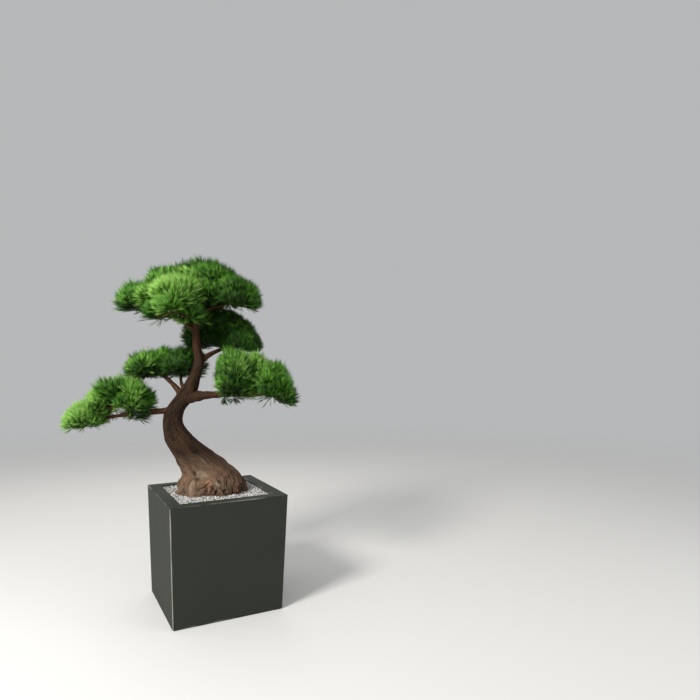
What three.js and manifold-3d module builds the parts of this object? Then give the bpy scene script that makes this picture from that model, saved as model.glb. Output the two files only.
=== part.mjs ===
// A pine bonsai with a leaning S-shaped trunk, standing in a square planter dressed with pale gravel.
// The planter stands square to the X and Y axes with its underside on Z = 0. The tree is worked out in
// a frame of its own, with x to the viewer's right, y away from the viewer and z up from the gravel,
// and is then planted turned in the planter. Lengths are in millimetres.
import * as THREE from "three";
import { ConvexGeometry } from "three/addons/geometries/ConvexGeometry.js";
import { mergeVertices } from "three/addons/utils/BufferGeometryUtils.js";
import Module from "manifold-3d";

const wasm = await Module();
wasm.setup();

// The planter
const PLANTER_TOP = 560;
const PLANTER_BASE = 520;
const PLANTER_HEIGHT = 550;
const CORNER_RADIUS = 7;
const EDGE_CHAMFER = 2.5;
const WALL = 12;
const RIM_WIDTH = 60;
const RIM_THICKNESS = 16;
const OPENING = PLANTER_TOP - 2 * RIM_WIDTH;
const OPENING_RADIUS = 4;
const CORNER_STEPS = 3;

// What fills the planter, and where the tree stands on it
const GRAVEL_LEVEL = 542;
const GRAVEL_DEPTH = 50;
const CLEARANCE = 0.3;
const LIMB_CLEARANCE = 0.45;
const FILL_SLACK = 1;
const TREE_TURN = THREE.MathUtils.degToRad(-28);

// The trunk as level slices above its flat foot: height, centre x and y, half width and half depth
const TRUNK_SLICES = [
  [0, -24, 0, 194, 154],
  [42, -19, 0, 184, 142],
  [84, -22, 0, 154, 124],
  [128, -50, 2, 134, 108],
  [186, -107, 6, 106, 90],
  [252, -172, 9, 82, 73],
  [330, -214, 12, 55, 54],
  [400, -208, 10, 50, 48],
  [480, -150, 2, 50, 42],
  [560, -110, -4, 35, 33],
  [650, -83, -4, 26, 26],
  [745, -97, 0, 20, 20],
  [870, -100, 2, 15, 15],
  [950, -108, 2, 10, 10],
];
const TRUNK_SIDES = 24;
const TRUNK_LEVELS = 27;
const ROOT_LOBES = 11;
const ROOT_SCATTER = 0.7;
const ROOT_WIDTHS = [0.16, 0.27];
const ROOT_STRENGTHS = [0.65, 1];
const ROOT_DEPTH = 0.22;
const ROOT_RISE = 85;
const FLUTES = 4;
const FLUTE_DEPTH = 0.06;
const FLUTE_TWIST = 0.006;

// Each bough: what it grows on, where it starts, bends and ends, and its radius at both ends
const BOUGHS = {
  bough_low_left: {
    from: "trunk",
    path: [[-215, 8, 404], [-400, -40, 398], [-540, -60, 370]],
    radii: [19, 8],
  },
  bough_low_left_riser: {
    from: "bough_low_left",
    path: [[-344, -29, 398], [-384, -34, 399], [-408, -42, 414]],
    radii: [11, 7],
  },
  bough_mid_left: {
    from: "trunk",
    path: [[-165, 8, 470], [-215, 30, 540], [-298, 48, 594]],
    radii: [20, 9],
  },
  bough_mid_left_fork: {
    from: "trunk",
    path: [[-150, 12, 500], [-196, 44, 535], [-194, 80, 592]],
    radii: [12, 7],
  },
  bough_right: {
    from: "trunk",
    path: [[-140, -4, 468], [-20, -30, 494], [185, -40, 484]],
    radii: [34, 10],
  },
  bough_right_riser: {
    from: "bough_right",
    path: [[40, -31, 488], [84, -34, 492], [110, -40, 516]],
    radii: [12, 7],
  },
  bough_upper_right: {
    from: "trunk",
    path: [[-90, -2, 640], [-40, 30, 694], [22, 90, 716]],
    radii: [21, 9],
  },
  bough_upper_back: {
    from: "trunk",
    path: [[-96, 0, 706], [-110, 56, 744], [-104, 112, 752]],
    radii: [13, 7],
  },
  bough_crown_left: {
    from: "trunk",
    path: [[-98, 2, 800], [-170, 0, 866], [-270, 0, 904]],
    radii: [13, 8],
  },
  bough_crown_front: {
    from: "trunk",
    path: [[-100, 2, 846], [-112, -60, 880], [-146, -110, 888]],
    radii: [11, 7],
  },
  bough_crown_right: {
    from: "trunk",
    path: [[-101, 2, 872], [-50, 0, 920], [24, -6, 930]],
    radii: [11, 7],
  },
  bough_crown_back: {
    from: "trunk",
    path: [[-100, 2, 838], [-106, 70, 890], [-136, 128, 912]],
    radii: [11, 7],
  },
  bough_crown_top: {
    from: "trunk",
    path: [[-105, 2, 912], [-128, 8, 960], [-178, 14, 992]],
    radii: [9, 6],
  },
};
const BOUGH_SIDES = 6;
const BOUGH_STEPS = 5;
const BOUGH_FLARE = 1.7;

// Each mass of needles: the limb that bears it, the middle and reach of its space, how far its flat
// underside lies below the middle as a share of its height, and how many tufts its twigs carry
const MASSES = {
  needles_low_left_outer: {
    bearer: "bough_low_left",
    middle: [-626, -60, 390],
    reach: [116, 124, 100],
    underside: 0.95,
    tufts: 9,
    seed: 52,
  },
  needles_low_left_inner: {
    bearer: "bough_low_left_riser",
    middle: [-430, -46, 484],
    reach: [168, 152, 132],
    underside: 0.92,
    tufts: 15,
    seed: 19,
  },
  needles_mid_left_outer: {
    bearer: "bough_mid_left",
    middle: [-362, 58, 638],
    reach: [108, 118, 88],
    underside: 0.95,
    tufts: 10,
    seed: 55,
  },
  needles_mid_left_inner: {
    bearer: "bough_mid_left_fork",
    middle: [-192, 90, 650],
    reach: [122, 126, 98],
    underside: 0.95,
    tufts: 13,
    seed: 60,
  },
  needles_right_inner: {
    bearer: "bough_right_riser",
    middle: [108, -50, 602],
    reach: [122, 142, 148],
    underside: 0.95,
    tufts: 14,
    seed: 60,
  },
  needles_right_outer: {
    bearer: "bough_right",
    middle: [288, -38, 554],
    reach: [130, 134, 140],
    underside: 0.97,
    tufts: 14,
    seed: 31,
  },
  needles_upper_right: {
    bearer: "bough_upper_right",
    middle: [98, 130, 796],
    reach: [146, 126, 124],
    underside: 0.95,
    tufts: 11,
    seed: 10,
  },
  needles_upper_back: {
    bearer: "bough_upper_back",
    middle: [-84, 134, 812],
    reach: [114, 118, 114],
    underside: 0.95,
    tufts: 8,
    seed: 21,
  },
  needles_crown_left: {
    bearer: "bough_crown_left",
    middle: [-360, 4, 972],
    reach: [146, 150, 112],
    underside: 0.92,
    tufts: 12,
    seed: 32,
  },
  needles_crown_front: {
    bearer: "bough_crown_front",
    middle: [-172, -130, 968],
    reach: [184, 146, 138],
    underside: 0.95,
    tufts: 14,
    seed: 33,
  },
  needles_crown_right: {
    bearer: "bough_crown_right",
    middle: [96, -14, 1000],
    reach: [160, 150, 112],
    underside: 0.92,
    tufts: 13,
    seed: 41,
  },
  needles_crown_back: {
    bearer: "bough_crown_back",
    middle: [-146, 156, 984],
    reach: [184, 142, 122],
    underside: 0.95,
    tufts: 12,
    seed: 36,
  },
  needles_crown_top_left: {
    bearer: "bough_crown_top",
    middle: [-192, 14, 1076],
    reach: [112, 124, 94],
    underside: 0.9,
    tufts: 8,
    seed: 21,
  },
  needles_crown_top_right: {
    bearer: "trunk",
    middle: [-16, 14, 1084],
    reach: [120, 126, 96],
    underside: 0.95,
    tufts: 8,
    seed: 24,
  },
};

// Needles and twigs. A tuft is a slim core whose small faces each run out into a needle. Tufts stand a
// needle's length inside the outline, lean outwards towards the rim, and every third one hangs lower.
// A needle is trimmed where it would leave its space, and left out below its shortest share of length.
const NEEDLE_LENGTH = 116;
const CORE_POINTS = 14;
const CORE_RADIUS = 14;
const CORE_LENGTH = 40;
const CORE_AHEAD = 16;
const FORWARD_SWEEP = 0.2;
const BARE_BACK = -0.8;
const CROWDING = 0.9;
const RIM_SHARE = 0.42;
const RIM_TILT = THREE.MathUtils.degToRad(66);
const LOWERED = 0.5;
const LOWERED_TILT = THREE.MathUtils.degToRad(10);
const FLOOR = 0.6;
const FIRST_FORK = 0.5;
const OTHER_FORKS = [1, 0.75, 0.5, 0.25];
const TWIG_RADIUS = 4.5;
const STEM_DROP = 0.4;
const STEM_SIDES = 5;
const STEM_STEPS = 4;
const GOLDEN_ANGLE = Math.PI * (3 - Math.sqrt(5));
const GAP = 4;
const TYPICAL_REACH = 125;
const CLEAR_OF_TWIGS = 9;
const SHORTEST = 0.36;
const LIMB_BALLS = 16;
const NEEDLE_CHECKS = 12;
const TWIG_CHECKS = 8;

const planterFinish = new THREE.MeshStandardMaterial({ color: 0x4a4f48, roughness: 0.55, metalness: 0 });
const fillerFinish = new THREE.MeshStandardMaterial({ color: 0x6b5a48, roughness: 1, metalness: 0 });
const gravelFinish = new THREE.MeshStandardMaterial({ color: 0xd6d4cf, roughness: 0.9, metalness: 0 });
const barkFinish = new THREE.MeshStandardMaterial({ color: 0x6e4f3d, roughness: 0.85, metalness: 0 });
const boughFinish = new THREE.MeshStandardMaterial({ color: 0x8a5a3a, roughness: 0.8, metalness: 0 });
const needleFinish = new THREE.MeshStandardMaterial({ color: 0x4f8a2e, roughness: 0.5, metalness: 0 });

// Numbers from 0 to 1 that are the same on every run
function dice(seed) {
  let state = (seed * 2654435761) % 4294967296;
  return () => {
    state = (state * 1664525 + 1013904223) % 4294967296;
    return state / 4294967296;
  };
}

const vector = (p) => new THREE.Vector3(...p);
const mix = (a, b, t) => a + (b - a) * t;

// A closed surface through rings of points, each ring going anticlockwise round the way they run
function loft(rings) {
  const n = rings[0].length;
  const points = rings.flat();
  const index = [];
  for (let i = 0; i < rings.length - 1; i++) {
    for (let j = 0; j < n; j++) {
      const a = i * n + j;
      const b = i * n + ((j + 1) % n);
      index.push(a, b, b + n, a, b + n, a + n);
    }
  }
  const last = (rings.length - 1) * n;
  if (n > 8) {
    for (const [ring, first, turn] of [[rings[0], 0, true], [rings.at(-1), last, false]]) {
      const hub = points.length;
      points.push(ring.reduce((sum, p) => sum.add(p), new THREE.Vector3()).divideScalar(n));
      for (let j = 0; j < n; j++) {
        const edge = [first + j, first + ((j + 1) % n)];
        index.push(...(turn ? edge.reverse() : edge), hub);
      }
    }
  } else {
    for (let j = 1; j < n - 1; j++) {
      index.push(0, j + 1, j, last, last + j, last + j + 1);
    }
  }
  return new THREE.BufferGeometry().setFromPoints(points).setIndex(index);
}

// A closed geometry as a solid that can be cut and joined, and back again
function solid(geometry) {
  const bare = geometry.clone();
  bare.deleteAttribute("normal");
  bare.deleteAttribute("uv");
  const merged = mergeVertices(bare, 1e-4);
  return new wasm.Manifold(
    new wasm.Mesh({
      numProp: 3,
      vertProperties: new Float32Array(merged.attributes.position.array),
      triVerts: new Uint32Array(merged.index.array),
    }),
  );
}

// The biggest body of a cut or joined solid, without the loose scraps
function largest(manifold) {
  return manifold.decompose().reduce((best, body) => (body.volume() > best.volume() ? body : best));
}

function geometryOf(manifold) {
  const mesh = manifold.getMesh();
  const geometry = new THREE.BufferGeometry();
  geometry.setAttribute("position", new THREE.BufferAttribute(mesh.vertProperties, 3));
  geometry.setIndex(new THREE.BufferAttribute(mesh.triVerts, 1));
  geometry.computeVertexNormals();
  return geometry;
}

// A level square ring with rounded corners
function squareRing(side, z, radius = CORNER_RADIUS) {
  const half = side / 2 - radius;
  const ring = [];
  for (let corner = 0; corner < 4; corner++) {
    for (let i = 0; i <= CORNER_STEPS; i++) {
      const angle = (corner + i / CORNER_STEPS) * (Math.PI / 2);
      const sx = corner === 0 || corner === 3 ? 1 : -1;
      const sy = corner < 2 ? 1 : -1;
      ring.push(
        new THREE.Vector3(sx * half + radius * Math.cos(angle), sy * half + radius * Math.sin(angle), z),
      );
    }
  }
  return ring;
}

// The planter's outer side at a height, and the side of the hollow inside its walls
const outerSide = (z) => mix(PLANTER_BASE, PLANTER_TOP, z / PLANTER_HEIGHT);
const innerSide = (z) => outerSide(z) - 2 * WALL;

function planterGeometry() {
  const body = solid(
    loft([
      squareRing(outerSide(0) - 2 * EDGE_CHAMFER, 0),
      squareRing(outerSide(EDGE_CHAMFER), EDGE_CHAMFER),
      squareRing(outerSide(PLANTER_HEIGHT - EDGE_CHAMFER), PLANTER_HEIGHT - EDGE_CHAMFER),
      squareRing(outerSide(PLANTER_HEIGHT) - 2 * EDGE_CHAMFER, PLANTER_HEIGHT),
    ]),
  );
  const hollowTop = PLANTER_HEIGHT - RIM_THICKNESS;
  const hollow = solid(
    loft([squareRing(innerSide(WALL), WALL), squareRing(innerSide(hollowTop), hollowTop)]),
  );
  const opening = solid(
    loft([
      squareRing(OPENING, hollowTop - 1, OPENING_RADIUS),
      squareRing(OPENING, PLANTER_HEIGHT + 1, OPENING_RADIUS),
    ]),
  );
  return geometryOf(body.subtract(hollow).subtract(opening));
}

// The light filler takes up the hollow below the gravel
function fillerGeometry() {
  const low = WALL + CLEARANCE;
  const high = GRAVEL_LEVEL - GRAVEL_DEPTH - CLEARANCE;
  return loft([
    squareRing(innerSide(low) - 2 * CLEARANCE - FILL_SLACK, low),
    squareRing(innerSide(high) - 2 * CLEARANCE - FILL_SLACK, high),
  ]);
}

// The gravel fills the planter up to the rim and comes up through the opening
function gravelGeometry() {
  const low = GRAVEL_LEVEL - GRAVEL_DEPTH;
  const neck = PLANTER_HEIGHT - RIM_THICKNESS - CLEARANCE;
  const wide = innerSide(low) - 2 * CLEARANCE - FILL_SLACK;
  const narrow = OPENING - 2 * CLEARANCE - FILL_SLACK;
  return loft([
    squareRing(wide, low),
    squareRing(wide, neck),
    squareRing(narrow, neck, OPENING_RADIUS),
    squareRing(narrow, GRAVEL_LEVEL, OPENING_RADIUS),
  ]);
}

// A smooth run through the trunk's slices: place 0 is the first of them and place 1 the last
function trunkSlice(place) {
  const spot = place * (TRUNK_SLICES.length - 1);
  const i = Math.min(Math.floor(spot), TRUNK_SLICES.length - 2);
  const t = spot - i;
  const at = (k) => TRUNK_SLICES[THREE.MathUtils.clamp(k, 0, TRUNK_SLICES.length - 1)];
  return at(i).map((b, k) => {
    const a = at(i - 1)[k];
    const c = at(i + 1)[k];
    const d = at(i + 2)[k];
    return b + 0.5 * t * (c - a + t * (2 * a - 5 * b + 4 * c - d + t * (3 * (b - c) + d - a)));
  });
}

// Roots as uneven lobes round the foot, each with its direction, width and strength
const rootRoll = dice(7);
const ROOTS = Array.from({ length: ROOT_LOBES }, (_, i) => ({
  angle: ((i + ROOT_SCATTER * (rootRoll() - 0.5)) / ROOT_LOBES) * 2 * Math.PI,
  width: mix(...ROOT_WIDTHS, rootRoll()),
  strength: mix(...ROOT_STRENGTHS, rootRoll()),
}));

// How far the trunk's side stands in, as a share of its radius: between the roots at the foot, and
// along shallow flutes that wind up the stem
function trunkRelief(angle, z) {
  let root = 0;
  for (const lobe of ROOTS) {
    const turn = Math.atan2(Math.sin(angle - lobe.angle), Math.cos(angle - lobe.angle));
    root = Math.max(root, lobe.strength * Math.exp(-((turn / lobe.width) ** 2)));
  }
  const foot = Math.exp(-z / ROOT_RISE);
  const flute = 0.5 - 0.5 * Math.cos(FLUTES * angle + FLUTE_TWIST * z * FLUTES);
  return 1 - ROOT_DEPTH * foot * (1 - root) - FLUTE_DEPTH * (1 - foot) * flute;
}

function trunkSolid(grow = 0) {
  const rings = [];
  for (let i = 0; i < TRUNK_LEVELS; i++) {
    const [z, x, y, halfWidth, halfDepth] = trunkSlice(i / (TRUNK_LEVELS - 1));
    const ring = [];
    for (let j = 0; j < TRUNK_SIDES; j++) {
      const angle = (j / TRUNK_SIDES) * 2 * Math.PI;
      const relief = trunkRelief(angle, z);
      ring.push(
        new THREE.Vector3(
          x + (halfWidth * relief + grow) * Math.cos(angle),
          y + (halfDepth * relief + grow) * Math.sin(angle),
          z,
        ),
      );
    }
    rings.push(ring);
  }
  return solid(loft(rings));
}

// A round limb that tapers along a curve. The curve's frame turns no more than it must.
function limbGeometry(curve, baseRadius, tipRadius, sides, steps, { grow = 0, flare = 1 } = {}) {
  const rings = [];
  let across = null;
  for (let i = 0; i <= steps; i++) {
    const t = i / steps;
    const along = curve.getTangent(t);
    if (!across) {
      across = new THREE.Vector3(0, 0, 1);
      if (Math.abs(along.z) > 0.9) across.set(1, 0, 0);
    }
    across.addScaledVector(along, -across.dot(along)).normalize();
    const side = new THREE.Vector3().crossVectors(along, across);
    const radius = mix(tipRadius, baseRadius, (1 - t) ** flare) + grow;
    const middle = curve.getPoint(t);
    const ring = [];
    for (let j = 0; j < sides; j++) {
      const angle = (j / sides) * 2 * Math.PI;
      ring.push(
        middle
          .clone()
          .addScaledVector(across, radius * Math.cos(angle))
          .addScaledVector(side, radius * Math.sin(angle)),
      );
    }
    rings.push(ring);
  }
  return loft(rings);
}

function boughCurve(name) {
  return new THREE.QuadraticBezierCurve3(...BOUGHS[name].path.map(vector));
}

function boughSolid(name, grow = 0) {
  const [base, tip] = BOUGHS[name].radii;
  const options = { grow, flare: BOUGH_FLARE };
  return solid(limbGeometry(boughCurve(name), base, tip, BOUGH_SIDES, BOUGH_STEPS, options));
}

// A bough is cut clear of the limb that it grows on
function boughGeometry(name) {
  const parent = BOUGHS[name].from;
  const grown = parent === "trunk" ? trunkSolid(LIMB_CLEARANCE) : boughSolid(parent, LIMB_CLEARANCE);
  return geometryOf(largest(boughSolid(name).subtract(grown)));
}

// The end of the limb that bears a mass: its place, its direction and its radius
function bearerTip(bearer) {
  if (bearer === "trunk") {
    const [z, x, y, radius] = TRUNK_SLICES.at(-1);
    return { place: new THREE.Vector3(x, y, z), along: new THREE.Vector3(0, 0, 1), radius: radius * 0.9 };
  }
  const curve = boughCurve(bearer);
  return { place: curve.getPoint(1), along: curve.getTangent(1), radius: BOUGHS[bearer].radii[1] };
}

// The stem of a mass carries on from its bearer and bends to the heart of the mass
function stemCurve(mass) {
  const tip = bearerTip(mass.bearer);
  const start = tip.place.clone().addScaledVector(tip.along, CLEARANCE);
  const heart = vector(mass.middle).add(new THREE.Vector3(0, 0, -STEM_DROP * mass.reach[2]));
  const bend = start.clone().addScaledVector(tip.along, 0.5 * start.distanceTo(heart));
  return new THREE.QuadraticBezierCurve3(start, bend, heart);
}

// A limb as a row of balls, for telling what comes too near to it
function ballsAlong(curve, baseRadius, tipRadius) {
  return Array.from({ length: LIMB_BALLS + 1 }, (_, i) => ({
    place: curve.getPoint(i / LIMB_BALLS),
    radius: mix(baseRadius, tipRadius, i / LIMB_BALLS),
  }));
}

const limbBalls = {};
for (const name of Object.keys(BOUGHS)) {
  limbBalls[name] = ballsAlong(boughCurve(name), ...BOUGHS[name].radii);
}
for (const [name, mass] of Object.entries(MASSES)) {
  limbBalls[name] = ballsAlong(stemCurve(mass), bearerTip(mass.bearer).radius, TWIG_RADIUS);
}

function nearTrunk(p, room) {
  const slack = room + GAP;
  for (let i = 0; i < TRUNK_SLICES.length - 1; i++) {
    const low = TRUNK_SLICES[i];
    const high = TRUNK_SLICES[i + 1];
    if (p.z < low[0] - slack || p.z > high[0] + slack) continue;
    const t = THREE.MathUtils.clamp((p.z - low[0]) / (high[0] - low[0]), 0, 1);
    const dx = (p.x - mix(low[1], high[1], t)) / (mix(low[3], high[3], t) + slack);
    const dy = (p.y - mix(low[2], high[2], t)) / (mix(low[4], high[4], t) + slack);
    if (dx * dx + dy * dy < 1) return true;
  }
  return false;
}

// True where a piece with this much room round a point would meet the trunk, a bough or another
// mass's stem
function nearLimb(p, own, room) {
  if (nearTrunk(p, room)) return true;
  return Object.entries(limbBalls).some(
    ([name, balls]) => name !== own && balls.some((b) => b.place.distanceTo(p) < b.radius + room + GAP),
  );
}

// How far out a point lies in a mass's space: 0 in the middle and 1 on its outline
function outness(p, mass) {
  const d = p.clone().sub(vector(mass.middle)).divide(vector(mass.reach));
  return d.z < -mass.underside ? Infinity : d.length();
}

// True where a point is in the mass's own space, nearer to its middle than to any other's
function inSpace(p, own, room) {
  const here = outness(p, MASSES[own]);
  if (here > 1) return false;
  const border = here + (room + GAP) / TYPICAL_REACH;
  return Object.entries(MASSES).every(([name, mass]) => name === own || border < outness(p, mass));
}

const allowed = (p, own, room) => inSpace(p, own, room) && !nearLimb(p, own, room);

// The tufts of a mass: twig ends spread over its space on a golden spiral, each facing up in the middle
// and outwards at the rim
function tuftsOf(name) {
  const mass = MASSES[name];
  const roll = dice(mass.seed);
  const [reachX, reachY, reachZ] = mass.reach;
  return Array.from({ length: mass.tufts }, (_, i) => {
    const out = Math.sqrt((i + 0.5) / mass.tufts);
    const angle = i * GOLDEN_ANGLE + mass.seed + mix(-0.3, 0.3, roll());
    const size = NEEDLE_LENGTH * mix(0.88, 1.08, roll());
    const hangs = i % 3 === 2 ? 1 : 0;
    const tilt = RIM_TILT * out * mix(0.85, 1.15, roll()) + LOWERED_TILT * hangs;
    const x = (reachX - RIM_SHARE * size) * out * Math.cos(angle);
    const y = (reachY - RIM_SHARE * size) * out * Math.sin(angle);
    const roof = reachZ * Math.sqrt(1 - (x / reachX) ** 2 - (y / reachY) ** 2);
    const top = roof - size * Math.cos(tilt) - CORE_AHEAD - LOWERED * reachZ * hangs;
    const z = Math.max(top, -FLOOR * mass.underside * reachZ);
    const place = new THREE.Vector3(x, y, z).add(vector(mass.middle));
    const facing = new THREE.Vector3(
      Math.sin(tilt) * Math.cos(angle),
      Math.sin(tilt) * Math.sin(angle),
      Math.cos(tilt),
    );
    const heart = place.clone().addScaledVector(facing, CORE_AHEAD);
    return { place, facing, heart, size, fork: mix(FIRST_FORK, 1, roll()) };
  });
}

// How long a needle can grow from its root before it leaves the mass's space, meets a limb or comes
// among a neighbour's needles, or 0 if that is too short
function needleLength(root, along, full, own, tuft, neighbours) {
  let reached = 0;
  const nearest = new THREE.Vector3();
  for (let i = 1; i <= NEEDLE_CHECKS; i++) {
    const share = i / NEEDLE_CHECKS;
    const p = root.clone().addScaledVector(along, full * share);
    const home = p.distanceTo(tuft.place) * CROWDING;
    const crowded = neighbours.some(
      (other) =>
        p.distanceTo(other.place) < home ||
        other.twig.closestPointToPoint(p, true, nearest).distanceTo(p) < CLEAR_OF_TWIGS,
    );
    if (!allowed(p, own, CORE_RADIUS * (1 - share)) || crowded) break;
    reached = share;
  }
  return reached < SHORTEST ? 0 : full * reached;
}

// The slim core of a tuft as small triangles, each a list of its three corners
function coreFaces(roll) {
  const spots = Array.from({ length: CORE_POINTS }, (_, i) => {
    const height = 1 - (2 * (i + 0.5)) / CORE_POINTS;
    const angle = i * GOLDEN_ANGLE + mix(-0.3, 0.3, roll());
    const around = CORE_RADIUS * Math.sqrt(1 - height * height);
    const along = 0.5 * CORE_LENGTH * height;
    return new THREE.Vector3(around * Math.cos(angle), around * Math.sin(angle), along);
  });
  const corners = new ConvexGeometry(spots).attributes.position;
  return Array.from({ length: corners.count / 3 }, (_, i) =>
    [0, 1, 2].map((k) => new THREE.Vector3().fromBufferAttribute(corners, 3 * i + k)),
  );
}

// True where a twig can run from the stem to a tuft's core without leaving the space or meeting a limb
function twigClear(fork, heart, own) {
  for (let i = 2; i <= TWIG_CHECKS; i++) {
    if (!allowed(fork.clone().lerp(heart, i / TWIG_CHECKS), own, TWIG_RADIUS)) return false;
  }
  return allowed(heart, own, CORE_RADIUS);
}

// Where a tuft's twig leaves the stem: at its own place on it, or else at the first of a few others
// from which the twig runs clear
function forkOf(tuft, stem, own) {
  const forks = [tuft.fork, ...OTHER_FORKS].map((t) => stem.getPoint(t));
  return forks.find((fork) => twigClear(fork, tuft.heart, own));
}

// A tuft on its twig. Each face of the core runs out into a needle, apart from a few bare ones at the
// back, of which the one that looks towards the stem runs on as the twig.
function tuftSolid(name, tuft, neighbours) {
  const roll = dice(100 * MASSES[name].seed + tuft.number);
  const { fork, heart } = tuft;
  const turn = new THREE.Quaternion().setFromUnitVectors(new THREE.Vector3(0, 0, 1), tuft.facing);
  const faces = coreFaces(roll).map((face) => {
    const [a, b, c] = face.map((p) => p.applyQuaternion(turn).add(heart));
    const triangle = new THREE.Triangle(a, b, c);
    const out = triangle.getNormal(new THREE.Vector3());
    return { a, b, c, out, centre: triangle.getMidpoint(new THREE.Vector3()) };
  });
  const home = fork.clone().sub(heart).normalize();
  const back = faces.reduce((best, face) => (face.out.dot(home) > best.out.dot(home) ? face : best));
  const corners = [];
  for (const face of faces) {
    const { a, b, c, out, centre } = face;
    const full = tuft.size * mix(0.85, 1, roll());
    if (face === back) {
      const [d, e, f] = [a, b, c].map((p) => p.clone().sub(centre).setLength(TWIG_RADIUS).add(fork));
      corners.push(a, b, e, a, e, d, b, c, f, b, f, e, c, a, d, c, d, f, d, e, f);
      continue;
    }
    const along = out.clone().addScaledVector(tuft.facing, FORWARD_SWEEP).normalize();
    const bare = out.dot(tuft.facing) < BARE_BACK;
    const length = bare ? 0 : needleLength(centre, along, full, name, tuft, neighbours);
    if (length === 0) {
      corners.push(a, b, c);
      continue;
    }
    const tip = centre.clone().addScaledVector(along, length);
    corners.push(a, b, tip, b, c, tip, c, a, tip);
  }
  return solid(mergeVertices(new THREE.BufferGeometry().setFromPoints(corners), 1e-4));
}

// A mass of needles: its stem and every tuft whose twig runs clear, fused to one body
function massGeometry(name) {
  const mass = MASSES[name];
  const stem = stemCurve(mass);
  const tufts = [];
  for (const [number, tuft] of tuftsOf(name).entries()) {
    const fork = forkOf(tuft, stem, name);
    if (fork) tufts.push({ ...tuft, number, fork, twig: new THREE.Line3(fork, tuft.place) });
  }
  const thick = bearerTip(mass.bearer).radius;
  const pieces = [solid(limbGeometry(stem, thick, TWIG_RADIUS, STEM_SIDES, STEM_STEPS))];
  for (const tuft of tufts) {
    const neighbours = tufts.filter((other) => other !== tuft);
    pieces.push(tuftSolid(name, tuft, neighbours));
  }
  return geometryOf(largest(wasm.Manifold.union(pieces)));
}

const object = new THREE.Group();
const tree = new THREE.Group();
tree.position.z = GRAVEL_LEVEL + CLEARANCE;
tree.rotation.z = TREE_TURN;
object.add(tree);

// One named sub-part
function addNode(parent, name, geometry, finish) {
  const mesh = new THREE.Mesh(geometry, finish);
  mesh.name = name;
  parent.add(mesh);
}

addNode(object, "planter", planterGeometry(), planterFinish);
addNode(object, "filler", fillerGeometry(), fillerFinish);
addNode(object, "gravel_bed", gravelGeometry(), gravelFinish);
addNode(tree, "trunk", geometryOf(trunkSolid()), barkFinish);
for (const name of Object.keys(BOUGHS)) {
  addNode(tree, name, boughGeometry(name), boughFinish);
}
for (const name of Object.keys(MASSES)) {
  addNode(tree, name, massGeometry(name), needleFinish);
}

export default object;
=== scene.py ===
# %% [markdown]
# # A pine bonsai in a square planter
#
# The real thing is a pine trained into a leaning S, with flat pads of long needles on a few boughs,
# standing in a tall square planter of dark fibreglass that is dressed with pale gravel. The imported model
# gives the sizes and places. This script dresses it: every solid that shows gets a finer mesh or a
# finish, and nothing is moved or resized.

# %% Load the frame
import math

import bmesh
import bpy
import numpy as np
from mathutils import Matrix, Vector, noise


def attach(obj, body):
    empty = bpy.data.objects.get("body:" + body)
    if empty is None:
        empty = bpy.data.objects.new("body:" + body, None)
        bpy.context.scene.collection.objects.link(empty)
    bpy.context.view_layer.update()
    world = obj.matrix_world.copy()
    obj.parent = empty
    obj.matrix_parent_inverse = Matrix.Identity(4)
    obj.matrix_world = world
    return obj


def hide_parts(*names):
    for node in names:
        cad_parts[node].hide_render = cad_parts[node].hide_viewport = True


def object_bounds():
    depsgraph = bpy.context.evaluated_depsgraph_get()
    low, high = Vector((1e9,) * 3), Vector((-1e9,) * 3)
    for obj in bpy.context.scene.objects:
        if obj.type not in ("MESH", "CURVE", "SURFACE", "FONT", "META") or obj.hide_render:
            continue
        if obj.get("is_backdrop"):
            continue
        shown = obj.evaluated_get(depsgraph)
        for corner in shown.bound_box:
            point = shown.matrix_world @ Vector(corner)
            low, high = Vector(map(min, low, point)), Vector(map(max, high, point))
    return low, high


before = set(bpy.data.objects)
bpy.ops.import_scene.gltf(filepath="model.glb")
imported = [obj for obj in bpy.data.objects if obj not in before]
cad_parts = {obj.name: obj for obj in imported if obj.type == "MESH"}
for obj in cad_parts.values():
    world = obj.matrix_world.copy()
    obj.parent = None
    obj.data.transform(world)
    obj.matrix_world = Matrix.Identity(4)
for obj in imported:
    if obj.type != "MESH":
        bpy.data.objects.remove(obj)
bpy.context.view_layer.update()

# %% [markdown]
# ## Two frames, one object
#
# The planter stands square to X and Y, but the tree is easiest to describe from its own front: x to
# the right, y away and z up from the gravel, in millimetres. Each piece of the tree is made in that frame
# and its mesh is then planted, which means turned and lifted onto the gravel in one step. The object
# itself stays at the origin, so that patterns on Object coordinates stay where they are.

# %% The tree's frame
MM = 0.001
GRAVEL_LEVEL = 542
CLEARANCE = 0.3
TREE_TURN = math.radians(-28)
PLANTING = Matrix.Translation((0, 0, (GRAVEL_LEVEL + CLEARANCE) * MM)) @ Matrix.Rotation(TREE_TURN, 4, "Z")


def dice(seed):
    """Numbers from 0 to 1 that are the same on every run"""
    state = seed * 2654435761 % 4294967296

    def roll():
        nonlocal state
        state = (state * 1664525 + 1013904223) % 4294967296
        return state / 4294967296

    return roll


def mix(a, b, t):
    return a + (b - a) * t


def unit(v):
    v = np.asarray(v, float)
    return v / np.linalg.norm(v, axis=-1, keepdims=True)


print("planted origin", tuple(round(v, 4) for v in PLANTING.to_translation()))

# %% [markdown]
# ## Making and placing a piece
#
# Most pieces here are grids of points closed into a skin, so one helper turns rings of points into a
# mesh, and another makes the object, rides it on the frame and hides the solids that it stands for.

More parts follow.
